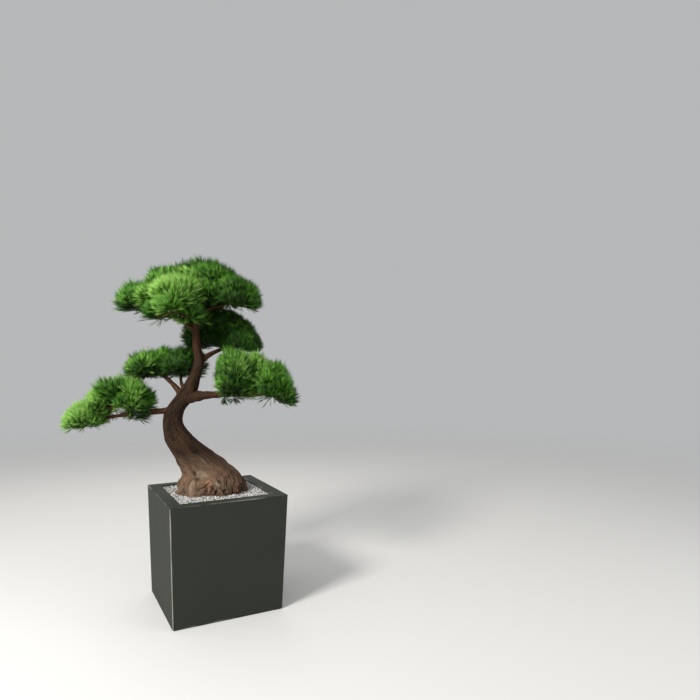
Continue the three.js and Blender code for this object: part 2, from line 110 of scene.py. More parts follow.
# %% Helpers for meshes
def loft(rings):
    """Corner points and faces of a surface through rings of points, closed by a hub at each end"""
    count, n = len(rings), len(rings[0])
    points = np.concatenate([*rings, [rings[0].mean(0)], [rings[-1].mean(0)]])
    j = np.arange(n)
    faces = []
    for i in range(count - 1):
        a, b = i * n + j, i * n + (j + 1) % n
        faces += np.stack([a, b, b + n, a + n], 1).tolist()
    first, last, top = count * n, count * n + 1, (count - 1) * n
    faces += [[(k + 1) % n, k, first] for k in range(n)]
    faces += [[top + k, top + (k + 1) % n, last] for k in range(n)]
    return points, faces


def with_hubs(values):
    """The values of a loft's ring points, and zeros for its two hubs"""
    return np.concatenate([values, np.zeros((2, *values.shape[1:]))])


def store(mesh, label, values):
    """Puts a number or a vector on each corner point of a mesh"""
    values = np.asarray(values, np.float32)
    kind, entry = ("FLOAT_VECTOR", "vector") if values.ndim == 2 else ("FLOAT", "value")
    mesh.attributes.new(label, kind, "POINT").data.foreach_set(entry, values.ravel())


def make_mesh(name, points, faces, smooth=True, **attributes):
    """A mesh in metres from points in metres, shaded smooth or flat, with values at its corner points"""
    mesh = bpy.data.meshes.new(name)
    mesh.from_pydata(np.asarray(points).tolist(), [], faces)
    if smooth:
        mesh.shade_smooth()
    else:
        mesh.shade_flat()
    for label, values in attributes.items():
        store(mesh, label, values)
    return mesh


def add_object(name, data):
    """Puts a mesh, a light or a camera into the scene"""
    made = bpy.data.objects.new(name, data)
    bpy.context.scene.collection.objects.link(made)
    return made


def add_piece(name, mesh, nodes):
    """A piece of the object that rides on the frame in place of these CAD nodes"""
    piece = add_object(name, mesh)
    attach(piece, "root")
    if nodes:
        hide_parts(*nodes)
    mesh.calc_loop_triangles()
    print(name, len(mesh.loop_triangles), "triangles")
    return piece


# %% [markdown]
# ## Node trees with less typing
#
# Materials and Geometry Nodes are both node trees. A few small functions add a node, set its plain
# values and link the rest, so that each tree below reads as what it does.

# %% Helpers for node trees
def feed(tree, socket, value):
    """Links an output to a socket, or sets the socket to a plain value"""
    if isinstance(value, bpy.types.NodeSocket):
        tree.links.new(value, socket)
    else:
        socket.default_value = value


def add_node(tree, kind, inputs=None, **settings):
    made = tree.nodes.new(kind)
    made.location = (200 * len(tree.nodes), 0)
    for key, value in settings.items():
        setattr(made, key, value)
    for key, value in (inputs or {}).items():
        feed(tree, made.inputs[key], value)
    return made


def sums(tree, operation, *values):
    return add_node(tree, "ShaderNodeMath", dict(enumerate(values)), operation=operation).outputs[0]


def plus(tree, a, b):
    return sums(tree, "ADD", a, b)


def minus(tree, a, b):
    return sums(tree, "SUBTRACT", a, b)


def times(tree, a, b):
    return sums(tree, "MULTIPLY", a, b)


def vectors(tree, operation, *values):
    made = add_node(tree, "ShaderNodeVectorMath", dict(enumerate(values)), operation=operation)
    return made.outputs["Value" if operation in ("DOT_PRODUCT", "LENGTH") else "Vector"]


def speckle(tree, place, size, detail):
    """Noise as a number for each place"""
    return add_node(tree, "ShaderNodeTexNoise", {"Vector": place, "Scale": size, "Detail": detail}).outputs[0]


def own_place(tree):
    """Where a point lies on the object, which stays put when the camera or the object moves"""
    return add_node(tree, "ShaderNodeTexCoord").outputs["Object"]


def sockets(tree, way, **kinds):
    """Named sockets on a group: its inputs or its outputs"""
    for name, kind in kinds.items():
        tree.interface.new_socket(name.replace("_", " "), in_out=way, socket_type=f"NodeSocket{kind}")


# %% [markdown]
# ## Shared shader groups
#
# Nearly every finish here needs blotches of two sizes, so that is one group with named inputs. Pale marks on
# corners are a second: wear on the roots, and on the planter's edges wear together with a painted highlight.
# It takes a mask that the mesh carries and breaks it up with noise. Groups give out only masks, and the
# shader stays in the material.

# %% Shader groups
WEAR_AND_HIGHLIGHT_CONTRAST = 3.0
WEAR_AND_HIGHLIGHT_LEVEL = 0.3


def blotches_group():
    tree = bpy.data.node_groups.new("Blotches", "ShaderNodeTree")
    sockets(tree, "INPUT", Place="Vector", Broad="Float", Fine="Float", Contrast="Float")
    sockets(tree, "OUTPUT", Mask="Float")
    given = add_node(tree, "NodeGroupInput").outputs
    broad = speckle(tree, given["Place"], given["Broad"], 2.0)
    fine = speckle(tree, given["Place"], given["Fine"], 4.0)
    level = sums(tree, "MULTIPLY_ADD", plus(tree, broad, fine), 0.5, -0.5)
    mask = sums(tree, "MULTIPLY_ADD", level, given["Contrast"], 0.5)
    clipped = add_node(tree, "ShaderNodeClamp", {"Value": mask}).outputs[0]
    add_node(tree, "NodeGroupOutput", {"Mask": clipped})
    return tree


def wear_and_highlight_group():
    tree = bpy.data.node_groups.new("Wear and highlight", "ShaderNodeTree")
    sockets(tree, "INPUT", Place="Vector", Edge="Float", Size="Float", Amount="Float")
    sockets(tree, "OUTPUT", Mask="Float")
    given = add_node(tree, "NodeGroupInput").outputs
    wear_and_highlight = minus(tree, given["Edge"], speckle(tree, given["Place"], given["Size"], 3.0))
    sharp = sums(tree, "MULTIPLY_ADD", wear_and_highlight, WEAR_AND_HIGHLIGHT_CONTRAST, WEAR_AND_HIGHLIGHT_LEVEL)
    clipped = add_node(tree, "ShaderNodeClamp", {"Value": sharp}).outputs[0]
    add_node(tree, "NodeGroupOutput", {"Mask": times(tree, clipped, given["Amount"])})
    return tree


BLOTCHES = blotches_group()
WEAR_AND_HIGHLIGHT = wear_and_highlight_group()
print("groups", BLOTCHES.name, WEAR_AND_HIGHLIGHT.name)

# %% Helpers for materials
def new_material(name, **plain):
    """A material and its shader, with the shader's plain values set on its own sockets"""
    made = bpy.data.materials.new(name)
    made.use_nodes = True
    shader = made.node_tree.nodes["Principled BSDF"]
    for label, value in plain.items():
        shader.inputs[label.replace("_", " ")].default_value = value
    return made.node_tree, shader, made


def group(tree, shared, **inputs):
    made = add_node(tree, "ShaderNodeGroup", node_tree=shared)
    for label, value in inputs.items():
        feed(tree, made.inputs[label], value)
    return made.outputs["Mask"]


def blend_colours(tree, mask, first, second):
    made = add_node(tree, "ShaderNodeMix", {"Factor": mask}, data_type="RGBA")
    for socket, value in zip([s for s in made.inputs if s.type == "RGBA"], (first, second)):
        feed(tree, socket, value)
    return next(s for s in made.outputs if s.type == "RGBA")


def blend_numbers(tree, mask, first, second):
    return sums(tree, "MULTIPLY_ADD", mask, second - first, first)


def paint(red, green, blue):
    return (red, green, blue, 1.0)


def bump(tree, shader, height, strength, depth):
    made = add_node(tree, "ShaderNodeBump", {"Strength": strength, "Distance": depth, "Height": height})
    tree.links.new(made.outputs[0], shader.inputs["Normal"])


# %% [markdown]
# ## The planter
#
# The shell is moulded fibreglass, 560 mm wide at the top and a little less at the foot, with a flat rim
# turned inwards. A box with a Bevel modifier would do for its outside, but the rim, the opening and the
# hollow are one skin, so it is drawn as rounded squares, one for each step of the profile. The steps close up
# at the edges, which keeps them crisp with a soft highlight. The mesh carries an edge mask for the finish,
# which paints the edges paler, partly as wear and partly as a painted highlight: it is strongest along the
# middle of the upright corners, where such a planter rubs first and where a highlight runs.

# %% The planter's sizes
PLANTER_TOP = 560
PLANTER_BASE = 520
PLANTER_HEIGHT = 550
CORNER_RADIUS = 7
WALL = 12
RIM_WIDTH = 60
RIM_THICKNESS = 16
RIM_STOPS = (16, 60, 104)
RIM_LIP = 4
OPENING = PLANTER_TOP - 2 * RIM_WIDTH
OPENING_RADIUS = 4
EDGE_ROUND = 2.5
FOOT_ROUND = 7
FOOT_FLAT = 40
INNERMOST = 60
WALL_STOPS = (12, 24, 60, 200, 350, 490, 530, 542)
EDGE_STEPS = 4
CORNER_STEPS = 8
SIDE_STOPS = (3, 9, 30)
# How strongly each edge is painted paler, as wear and as a painted highlight
CORNER_WEAR_AND_HIGHLIGHT = 0.9
TOP_CORNER_WEAR_AND_HIGHLIGHT = 0.6
FOOT_WEAR_AND_HIGHLIGHT = 0.4
TOP_WEAR_AND_HIGHLIGHT = 0.42
OPENING_WEAR_AND_HIGHLIGHT = 0.45


# %% The planter's shape
def side_spots(half):
    """Places along a straight side, close together near its ends"""
    near = [half - stop for stop in SIDE_STOPS]
    return [*near, 0.4 * half, 0, -0.4 * half, *(-v for v in reversed(near))]


def rounded_square(side, z, radius):
    """A level ring with round corners, and a mask of wear and painted highlight, strongest mid-corner, from 0
    to 1
    """
    half = side / 2 - radius
    ring, edge = [], []
    for corner in range(4):
        turn = corner * math.pi / 2
        c, s = round(math.cos(turn)), round(math.sin(turn))
        for i in range(CORNER_STEPS + 1):
            angle = i / CORNER_STEPS * math.pi / 2
            x, y = half + radius * math.cos(angle), half + radius * math.sin(angle)
            ring.append((c * x - s * y, s * x + c * y, z))
            # Wear and a painted highlight: a pale line down the middle of each rounded corner
            edge.append(CORNER_WEAR_AND_HIGHLIGHT * math.sin(2 * angle) ** 2)
        for x in side_spots(half):
            y = side / 2
            ring.append((c * x - s * y, s * x + c * y, z))
            edge.append(0.0)
    return np.array(ring), np.array(edge)


def outer_side(z):
    return mix(PLANTER_BASE, PLANTER_TOP, z / PLANTER_HEIGHT)


def rounded_edge(side, z, start, radius=EDGE_ROUND):
    """A quarter turn of the profile round an edge: how wide and how high the shell is at each step"""
    angles = [math.radians(start + 90 * i / EDGE_STEPS) for i in range(EDGE_STEPS + 1)]
    return [(side + 2 * radius * math.cos(a), z + radius * math.sin(a)) for a in angles]


def planter_profile():
    """(side, height, corner radius, edge mask, corner mask) from the underside's middle to the inner floor;
    the masks paint edges paler, as wear and as a painted highlight
    """
    rows = []

    def add(steps, radius=CORNER_RADIUS, edge=0, corner=0):
        rows.extend((side, z, radius, edge, corner) for side, z in steps)

    tight = 2 * EDGE_ROUND
    under = PLANTER_HEIGHT - RIM_THICKNESS
    edge_height = PLANTER_HEIGHT - EDGE_ROUND
    foot_side = outer_side(FOOT_ROUND) - 2 * FOOT_ROUND
    add([(INNERMOST, 0), (outer_side(0) - FOOT_FLAT, 0)])
    add(rounded_edge(foot_side, FOOT_ROUND, -90, FOOT_ROUND), edge=FOOT_WEAR_AND_HIGHLIGHT, corner=1)
    add([(outer_side(z), z) for z in WALL_STOPS], corner=1)
    add(rounded_edge(PLANTER_TOP - tight, edge_height, 0), edge=TOP_WEAR_AND_HIGHLIGHT, corner=TOP_CORNER_WEAR_AND_HIGHLIGHT)
    add([(PLANTER_TOP - stop, PLANTER_HEIGHT) for stop in RIM_STOPS])
    add(rounded_edge(OPENING + tight, edge_height, 90), OPENING_RADIUS, OPENING_WEAR_AND_HIGHLIGHT)
    add([(OPENING, under + RIM_LIP), (OPENING, under)], OPENING_RADIUS)
    add([(outer_side(z) - 2 * WALL, z) for z in (under, WALL)], OPENING_RADIUS)
    add([(INNERMOST, WALL)], OPENING_RADIUS)
    return rows


rings, edges = [], []
for side, z, radius, edge, corner in planter_profile():
    ring, corner_wear_and_highlight = rounded_square(side, z, radius)
    rings.append(ring)
    edges.append(np.maximum(corner_wear_and_highlight * corner, edge))
points, faces = loft(rings)
planter_mesh = make_mesh("planter_shell", points * MM, faces, edge=with_hubs(np.concatenate(edges)))
planter = add_piece("planter_shell", planter_mesh, ["planter"])

# %% [markdown]
# The finish is a grey-green satin gel coat. It is nearly even, with faint clouding, a fine orange-peel
# texture that only shows in the highlights, and edges painted paler in long stretches, partly as rubbing and
# partly as a painted highlight.

# %% The planter's finish
SHELL_DARK = paint(0.026, 0.029, 0.023)
SHELL_LIGHT = paint(0.034, 0.038, 0.030)
# The pale edge colour: partly wear, partly a painted highlight
SHELL_WEAR_AND_HIGHLIGHT = paint(0.50, 0.51, 0.47)


def shell_finish():
    tree, shader, made = new_material("grey_green_gel_coat", Specular_IOR_Level=0.14)
    place = own_place(tree)
    clouds = group(tree, BLOTCHES, Place=place, Broad=5.0, Fine=60.0, Contrast=1.6)
    edge = add_node(tree, "ShaderNodeAttribute", attribute_name="edge").outputs["Fac"]
    # The edges are painted paler, partly as wear and partly as a painted highlight
    wear_and_highlight = group(tree, WEAR_AND_HIGHLIGHT, Place=place, Edge=edge, Size=9.0, Amount=0.5)
    colour = blend_colours(tree, clouds, SHELL_DARK, SHELL_LIGHT)
    feed(tree, shader.inputs["Base Color"], blend_colours(tree, wear_and_highlight, colour, SHELL_WEAR_AND_HIGHLIGHT))
    feed(tree, shader.inputs["Roughness"], blend_numbers(tree, clouds, 0.58, 0.72))
    bump(tree, shader, speckle(tree, place, 420.0, 2.0), 0.12, 0.0006)
    return made


planter.data.materials.append(shell_finish())
print("planter", PLANTER_TOP, "wide and", PLANTER_HEIGHT, "high, finish", planter.data.materials[0].name)

# %% [markdown]
# ## What fills the planter
#
# Under the gravel lies bark potting mix, which nobody sees, so the plain solid stays and gets a crumbly
# finish. The gravel bed's solid stays too, as the ground between the stones: grit painted dark as shade.

# %% The potting mix and the ground under the stones
def crumbly_finish(name, dark, light, broad, fine):
    tree, shader, made = new_material(name, Roughness=0.95)
    lumps = group(tree, BLOTCHES, Place=own_place(tree), Broad=broad, Fine=fine, Contrast=3.0)
    feed(tree, shader.inputs["Base Color"], blend_colours(tree, lumps, dark, light))
    bump(tree, shader, lumps, 0.8, 0.004)
    return made


def refinish(node, finish):
    """A CAD node that stays gets a new finish in its object's material slots"""
    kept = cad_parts[node]
    if not kept.material_slots:
        kept.data.materials.append(None)
    for holder in kept.material_slots:
        holder.link = "OBJECT"
        holder.material = finish
    print(node, "keeps its solid, finish", finish.name)


MIX_DARK = paint(0.03, 0.018, 0.01)
MIX_LIGHT = paint(0.15, 0.09, 0.05)
# The ground between the stones: grit colours darkened as painted shade
GRIT_AND_SHADE_DARK = paint(0.06, 0.057, 0.052)
GRIT_AND_SHADE_LIGHT = paint(0.26, 0.25, 0.235)
refinish("filler", crumbly_finish("bark_potting_mix", MIX_DARK, MIX_LIGHT, 60.0, 300.0))
refinish("gravel_bed", crumbly_finish("gravel_grit_and_shade", GRIT_AND_SHADE_DARK, GRIT_AND_SHADE_LIGHT, 120.0, 400.0))

# %% [markdown]
# ## The trunk
#
# The trunk leans, bends back and tapers from a broad foot of roots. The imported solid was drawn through
# level slices, so the same slices are lofted again with far more steps, and the relief that the solid
# only hints at is carried on: each root wanders and splits into fingers, shallow flutes wind up the stem,
# and plates of bark part along fine cracks. Sculpting would give the same, but a rule can be changed.

# %% The trunk's slices
TRUNK_SLICES = np.array([
    [0, -24, 0, 194, 154],
    [42, -19, 0, 184, 142],
    [84, -22, 0, 154, 124],
    [128, -50, 2, 134, 108],
    [186, -107, 6, 106, 90],
    [252, -172, 9, 82, 73],
    [330, -214, 12, 55, 54],
    [400, -208, 10, 50, 48],
    [480, -150, 2, 50, 42],
    [560, -110, -4, 35, 33],
    [650, -83, -4, 26, 26],
    [745, -97, 0, 20, 20],
    [870, -100, 2, 15, 15],
    [950, -108, 2, 10, 10],
], float)


def trunk_slice(place):
    """A smooth run through the slices: height, centre x and y, half width and half depth"""
    last = len(TRUNK_SLICES) - 1
    spot = place * last
    i = min(int(spot), last - 1)
    t = spot - i
    a, b, c, d = (TRUNK_SLICES[min(max(k, 0), last)] for k in (i - 1, i, i + 1, i + 2))
    return b + 0.5 * t * (c - a + t * (2 * a - 5 * b + 4 * c - d + t * (3 * (b - c) + d - a)))


print("trunk", *TRUNK_SLICES[[0, -1], 0], "mm above the gravel")

# %% The trunk's dents, knobs and flakes
HOLLOW_SHADE = 7
DENTS = [
    # turn in degrees, height, half width in degrees, half height, depth
    (-109, 106, 4.5, 11, 9),
    (-106, 80, 5, 8, 6),
    (-65, 68, 4.5, 8, 9),
    (-114, 150, 4, 34, 3),
    (-95, 138, 3.5, 14, 2.5),
    (-85, 155, 3.5, 14, 2.5),
    (-75, 172, 3.5, 14, 2.5),
    (-88, 30, 2.6, 14, 9),
    (-77, 32, 2.6, 12, 9),
    (-70, 24, 2.6, 12, 8),
    (-58, 20, 3, 14, 8),
    (-131, 30, 3, 20, 5),
    (-30, 30, 4, 16, 5),
    (178, 112, 16, 10, 5),
    (8, 60, 6, 24, 9),
    (52, 34, 7, 20, 9),
    (96, 74, 6, 22, 9),
    (141, 38, 7, 26, 9),
    (-168, 44, 6, 26, 9),
    # knobs stand out
    (180, 144, 18, 17, -11),
    (3, 165, 14, 24, -13),
    (1, 107, 12, 20, -8),
    (-132, 158, 10, 18, -6),
    (-64, 168, 4, 30, -5),
    (-85, 70, 9, 12, -5),
    (120, 130, 14, 24, -10),
]
FLAKES = [
    # turn in degrees, height, half width in degrees, half height, strength
    (-85, 66, 10, 16, 0.65),
    (-90, 42, 8, 15, 0.5),
    (-138, 80, 14, 34, 0.5),
    (-80, 26, 7, 14, 0.55),
    (-51, 129, 14, 20, 0.45),
    (-42, 60, 17, 26, 0.4),
    (30, 90, 12, 24, 0.8),
    (85, 50, 11, 20, 0.9),
    (150, 100, 12, 24, 0.8),
    (-170, 60, 10, 18, 0.8),
]
PALE_PATCHES = [
    # bleached wood, laid out as the flakes are
    (-116, 50, 7, 42, 0.6),
    (-93, 106, 13, 20),
    (-66, 172, 5, 28),
    (-72, 50, 6, 18),
    (20, 70, 8, 30),
    (110, 60, 9, 34),
]
BROWN_AND_SHADE_PATCHES = [
    # dark bark that still sits between the worn roots; the first patch, on the right of the foot, is painted
    # shade
    (-22, 60, 24, 95),
    (-158, 168, 24, 44),
    (60, 90, 20, 60),
    (-200, 90, 14, 50),
]


def turned(angle, middle):
    """How far each angle lies from a middle one, the short way round"""
    return np.arctan2(np.sin(angle - middle), np.cos(angle - middle))


def spots_mask(angle, z, spots):
    """The sum of soft oval spots on the trunk, each with its own weight or else 1"""
    total = np.zeros_like(angle)
    for turn, height, half_turn, half_height, *weight in spots:
        aside = turned(angle, math.radians(turn)) / math.radians(half_turn)
        total += np.exp(-aside**2 - ((z - height) / half_height) ** 2) * (weight[0] if weight else 1)
    return total


print("dents and knobs", len(DENTS), "patches", len(FLAKES) + len(PALE_PATCHES) + len(BROWN_AND_SHADE_PATCHES))

# %% [markdown]
# The roots aren't evenly spaced, so each has its own turn, width and strength, and wanders a little as
# it climbs. The grooves between the strands of wood come from a noise stretched along the trunk: where
# it changes sign there is a line, and such lines part and meet just as grooves in old wood do.

# %% The roots, flutes and grooves
ROOT_LOBES = 11
ROOT_DEPTH = 0.24
ROOT_RISE = 85
ROOT_WANDER = 0.12
GROOVE_DEPTH = 0.075
GROOVE_RISE = 120
GROOVES_AROUND = 5.2
GROOVE_LENGTH = 115
GROOVE_SHARPNESS = 6
FINE_GROOVE_DEPTH = 0.035
FINE_GROOVES_AROUND = 13
FINE_GROOVE_LENGTH = 48
FINE_GROOVE_SHADE = 0.7
FLUTES = 4
FLUTE_DEPTH = 0.06
FLUTE_TWIST = 0.006

root_roll = dice(7)
ROOTS = []
for i in range(ROOT_LOBES):
    angle = (i + 0.7 * (root_roll() - 0.5)) / ROOT_LOBES * 2 * math.pi
    ROOTS.append((angle, mix(0.16, 0.27, root_roll()), mix(0.65, 1, root_roll())))


def root_mask(angle, z):
    """How far up the back of a root each point is: 1 on a crest and 0 in a dip between two"""
    crest = np.zeros_like(angle)
    for k, (middle, width, strength) in enumerate(ROOTS):
        wander = ROOT_WANDER * math.sin(z / 26 + 2.3 * k)
        crest = np.maximum(crest, strength * np.exp(-((turned(angle, middle + wander) / width) ** 2)))
    return crest


def groove_mask(angle, z, around, length):
    """Winding grooves that part and meet, from 0 to 1: where a noise stretched up the trunk changes sign"""
    wave_x, wave_y = 0.5 * math.sin(z / 31), 0.5 * math.cos(z / 43)
    x, y = around * np.cos(angle.ravel()) + wave_x, around * np.sin(angle.ravel()) + wave_y
    spots = [(*spot, z / length) for spot in zip(x, y)]
    level = np.array([noise.noise(spot) for spot in spots])
    return np.clip(1 - np.abs(level.reshape(angle.shape)) * GROOVE_SHARPNESS, 0, 1)


def trunk_relief(angle, z):
    """The share of its radius at which the trunk's side stands, its crest mask, and its groove mask for
    painted shade
    """
    crest = root_mask(angle, z)
    foot = math.exp(-z / ROOT_RISE)
    flute = 0.5 - 0.5 * np.cos(FLUTES * angle + FLUTE_TWIST * z * FLUTES)
    share = 1 - ROOT_DEPTH * foot * (1 - crest) - FLUTE_DEPTH * (1 - foot) * flute
    low = math.exp(-z / GROOVE_RISE)
    broad = groove_mask(angle, z, GROOVES_AROUND, GROOVE_LENGTH) * low
    fine = groove_mask(angle, z, FINE_GROOVES_AROUND, FINE_GROOVE_LENGTH) * low
    # This mask paints shade into the grooves in the bark's finish
    painted_shade = np.maximum(broad, FINE_GROOVE_SHADE * fine)
    return share - GROOVE_DEPTH * broad - FINE_GROOVE_DEPTH * fine, crest, painted_shade


print("roots", len(ROOTS))

# %% [markdown]
# Plates of bark part along cracks, which are the walls between Voronoi cells drawn out long. The noise
# that bends the cells takes its offsets from a seed, which is set so that the cracks are the same on
# every run. Every pattern is measured round and along the limb, so it follows the bends.

# %% Patterns in the bark
PLATE_SEED = 5
PLATE_WIDTH = 13
PLATE_LENGTH = 70
CRACK_WIDTH = 0.3


def bark_plates(place, width, length):
    """How deep each point lies in the cracks between long plates of bark, from 0 to 1"""
    noise.seed_set(PLATE_SEED)
    depths = np.empty(len(place))
    for i, spot in enumerate(np.asarray(place) / (width, width, length)):
        bent = Vector(spot) + 0.5 * noise.noise_vector(Vector(spot))
        near, next_near = noise.voronoi(bent)[0][:2]
        depths[i] = 1 - min(1, (next_near - near) / CRACK_WIDTH)
    return depths


def lumps(place, size):
    """Soft swellings from -1 to 1"""
    return np.array([noise.noise(spot) for spot in np.asarray(place) / size])


def carve(rings, depth, level=(1, 1, 1)):
    """Moves each ring's points towards its middle by their depths"""
    n = len(rings[0])
    for i, ring in enumerate(rings):
        ring -= depth[i * n:(i + 1) * n, None] * unit((ring - ring.mean(0)) * level)


print("crack at the middle", bark_plates([(0, 0, 0)], PLATE_WIDTH, PLATE_LENGTH).round(2))

# %% [markdown]
# Each ring of the trunk takes its size from the slices, its outline from roots, flutes and grooves, and
# its dents from the table. Its points carry the masks that the finish reads later. The toes of the
# roots spread a little on the gravel.

# %% The trunk's rings
TRUNK_SIDES = 300
TRUNK_LEVELS = 280
TOE_SPREAD = 6
TOE_RISE = 14


def trunk_rings():
    """The trunk's rings before its bark's relief, and the values that its points carry"""
    angle = np.arange(TRUNK_SIDES) / TRUNK_SIDES * 2 * math.pi
    across = np.stack([np.cos(angle), np.sin(angle)], 1)
    run = 0
    before = None
    rings = []
    carried = {"grain": [], "crest": [], "painted_shade": [], "flake": [], "brown_and_shade": []}
    for i in range(TRUNK_LEVELS):
        z, x, y, wide, deep = trunk_slice(i / (TRUNK_LEVELS - 1))
        share, crest, painted_shade = trunk_relief(angle, z)
        hollow = spots_mask(angle, z, DENTS)
        middle = np.array([x, y, z])
        run += 0 if before is None else np.linalg.norm(middle - before)
        before = middle
        out = TOE_SPREAD * crest * math.exp(-z / TOE_RISE) - hollow
        radii = np.array([wide, deep]) * share[:, None] + out[:, None]
        rings.append(np.column_stack([(x, y) + radii * across, np.full(TRUNK_SIDES, z)]))
        girth = 0.5 * (wide + deep)
        pale = 0.5 * crest * math.exp(-z / ROOT_RISE) + spots_mask(angle, z, PALE_PATCHES)
        carried["grain"].append(np.column_stack([girth * across, np.full(TRUNK_SIDES, run)]))
        carried["crest"].append(np.clip(pale, 0, 1))
        # Grooves and hollows carry painted shade for the finish
        carried["painted_shade"].append(np.clip(painted_shade + hollow / HOLLOW_SHADE, 0, 1))
        carried["flake"].append(np.clip(spots_mask(angle, z, FLAKES), 0, 1))
        carried["brown_and_shade"].append(np.clip(spots_mask(angle, z, BROWN_AND_SHADE_PATCHES), 0, 1))
    return rings, {label: np.concatenate(values) for label, values in carried.items()}


rings, carried = trunk_rings()
print("rings", len(rings), "of", TRUNK_SIDES, "points")

# %% [markdown]
# On the stem the plates and their cracks show, and they fade out downwards. The foot is craggy instead,
# from a noise folded at zero, which makes ridges. Thin parts of the trunk get shallower relief.

# %% The trunk's mesh
PLATES_FROM = 90
PLATES_FADE = 120
CRACK_DEPTH = 1.3
LUMP_SIZE = 42
LUMP_HEIGHT = 3.5
GRAIN_SIZE = 9
GRAIN_DEPTH = 2.2
CRAG_SIZE = 30
CRAG_DEPTH = 8
CRAG_LEVEL = 0.6
CRAGS_UP_TO = 60
CRAGS_FADE = 90

grain = carried["grain"]
along = grain[:, 2]
girths = np.linalg.norm(grain[:, :2], axis=1)
cracks = bark_plates(grain, PLATE_WIDTH, PLATE_LENGTH) * np.clip((along - PLATES_FROM) / PLATES_FADE, 0, 1)
swells = LUMP_HEIGHT * lumps(grain, LUMP_SIZE) + GRAIN_DEPTH * lumps(grain * (1, 1, 0.2), GRAIN_SIZE)
crags = 1 - 2 * np.abs(lumps(grain * (1, 1, 0.5), CRAG_SIZE))
low = np.exp(-np.clip(along - CRAGS_UP_TO, 0, None) / CRAGS_FADE)
depth = CRACK_DEPTH * cracks * np.clip(girths / 60, 0.35, 1)
depth -= swells * np.clip(girths / 90, 0.25, 1)
depth -= CRAG_DEPTH * (crags - CRAG_LEVEL) * low
carve(rings, depth, (1, 1, 0))
carried["grain"] = grain * MM
carried["crack"] = cracks
points, faces = loft(rings)
values = {label: with_hubs(numbers) for label, numbers in carried.items()}
trunk_mesh = make_mesh("trunk_bark", points * MM, faces, **values)
limbs = [trunk_mesh.copy()]
trunk_mesh.transform(PLANTING)
trunk = add_piece("trunk_bark", trunk_mesh, ["trunk"])

# %% [markdown]
# ## Bark
#
# Up the stem the bark is dark brown with long streaks. Round the roots it has worn to tan, with bleached
# crests, rusty patches and a few orange flakes where it came off last, while dark bark still sits in the
# dips; on the right of the foot that dark bark is painted shade, and the grooves, cracks and hollows are
# painted nearly black as shade. The streaks have to follow the bends, so the pattern reads the mesh's own
# grain attribute, and the flakes and patches are masks on the mesh, broken up by noise.

# %% The bark's finish
WORN_HEIGHT = (0.745, 0.615)
RED_HEIGHT = (1.15, 1.40)
STREAK_STRETCH = (1, 1, 0.16)


def carried_value(tree, label, output="Fac"):
    return add_node(tree, "ShaderNodeAttribute", attribute_name=label).outputs[output]


def fade(tree, height, start, end):
    return add_node(tree, "ShaderNodeMapRange", {0: height, 1: start, 2: end}).outputs[0]


def bark_finish(name, dark, light, top, tan, pale, rust, flake):
    """Bark from the stem's colours down to those of the worn roots; the heights are those of the tree"""
    tree, shader, made = new_material(name, Specular_IOR_Level=0.12)
    grain = carried_value(tree, "grain", "Vector")
    along = add_node(tree, "ShaderNodeMapping", {"Vector": grain, "Scale": STREAK_STRETCH}).outputs[0]
    streaks = group(tree, BLOTCHES, Place=along, Broad=36.0, Fine=190.0, Contrast=4.4)
    patches = group(tree, BLOTCHES, Place=grain, Broad=19.0, Fine=70.0, Contrast=7.0)
    height = add_node(tree, "ShaderNodeSeparateXYZ", {0: own_place(tree)}).outputs["Z"]
    low, high = fade(tree, height, *WORN_HEIGHT), fade(tree, height, *RED_HEIGHT)
    # Brown patches keep the dark bark; on the right of the foot this is painted shade
    kept = sums(tree, "MULTIPLY_ADD", carried_value(tree, "brown_and_shade"), -0.75, 1.0)
    worn = times(tree, times(tree, low, kept), blend_numbers(tree, streaks, 0.65, 1.0))
    bleached = group(tree, WEAR_AND_HIGHLIGHT, Place=along, Edge=carried_value(tree, "crest"), Size=120.0, Amount=0.55)
    flaked = group(tree, WEAR_AND_HIGHLIGHT, Place=along, Edge=carried_value(tree, "flake"), Size=110.0, Amount=0.75)
    cracked = times(tree, carried_value(tree, "crack"), 0.45)
    # Painted shade: cracks, grooves, hollows and the boughs' collars are darkened
    shadow = sums(tree, "MAXIMUM", cracked, times(tree, carried_value(tree, "painted_shade"), 0.7))
    colour = blend_colours(tree, streaks, dark, light)
    colour = blend_colours(tree, times(tree, high, 0.7), colour, top)
    colour = blend_colours(tree, worn, colour, tan)
    colour = blend_colours(tree, times(tree, times(tree, patches, low), 0.45), colour, rust)
    colour = blend_colours(tree, times(tree, bleached, low), colour, pale)
    colour = blend_colours(tree, flaked, colour, flake)
    feed(tree, shader.inputs["Base Color"], blend_colours(tree, shadow, colour, dark))
    feed(tree, shader.inputs["Roughness"], blend_numbers(tree, streaks, 0.65, 0.9))
    bump(tree, shader, plus(tree, streaks, patches), 0.8, 0.0024)
    return made


BARK_DARK = paint(0.013, 0.0068, 0.004)
BARK_BROWN = paint(0.062, 0.034, 0.018)
BARK_RED = paint(0.085, 0.034, 0.016)
ROOT_TAN = paint(0.220, 0.147, 0.094)
ROOT_PALE = paint(0.370, 0.282, 0.200)
ROOT_RUST = paint(0.180, 0.092, 0.060)
FLAKE_ORANGE = paint(0.43, 0.205, 0.105)
trunk.data.materials.append(
    bark_finish("trunk_bark", BARK_DARK, BARK_BROWN, BARK_RED, ROOT_TAN, ROOT_PALE, ROOT_RUST, FLAKE_ORANGE)
)
print("bark worn below", WORN_HEIGHT[0], "m and red above", RED_HEIGHT[0], "m")

# %% [markdown]
# ## The boughs
#
# Each bough leaves the trunk with a collar and tapers to where it enters its pad. A curve object with a
# bevel would be quick, but a real bough swells where old side shoots were cut, so each is a loft along
# the curve that its solid follows, with knuckles and cracks of its own. The crowns above keep most light
# off the collars, so the bark there is darker, and on the right bough that shade reaches far out.

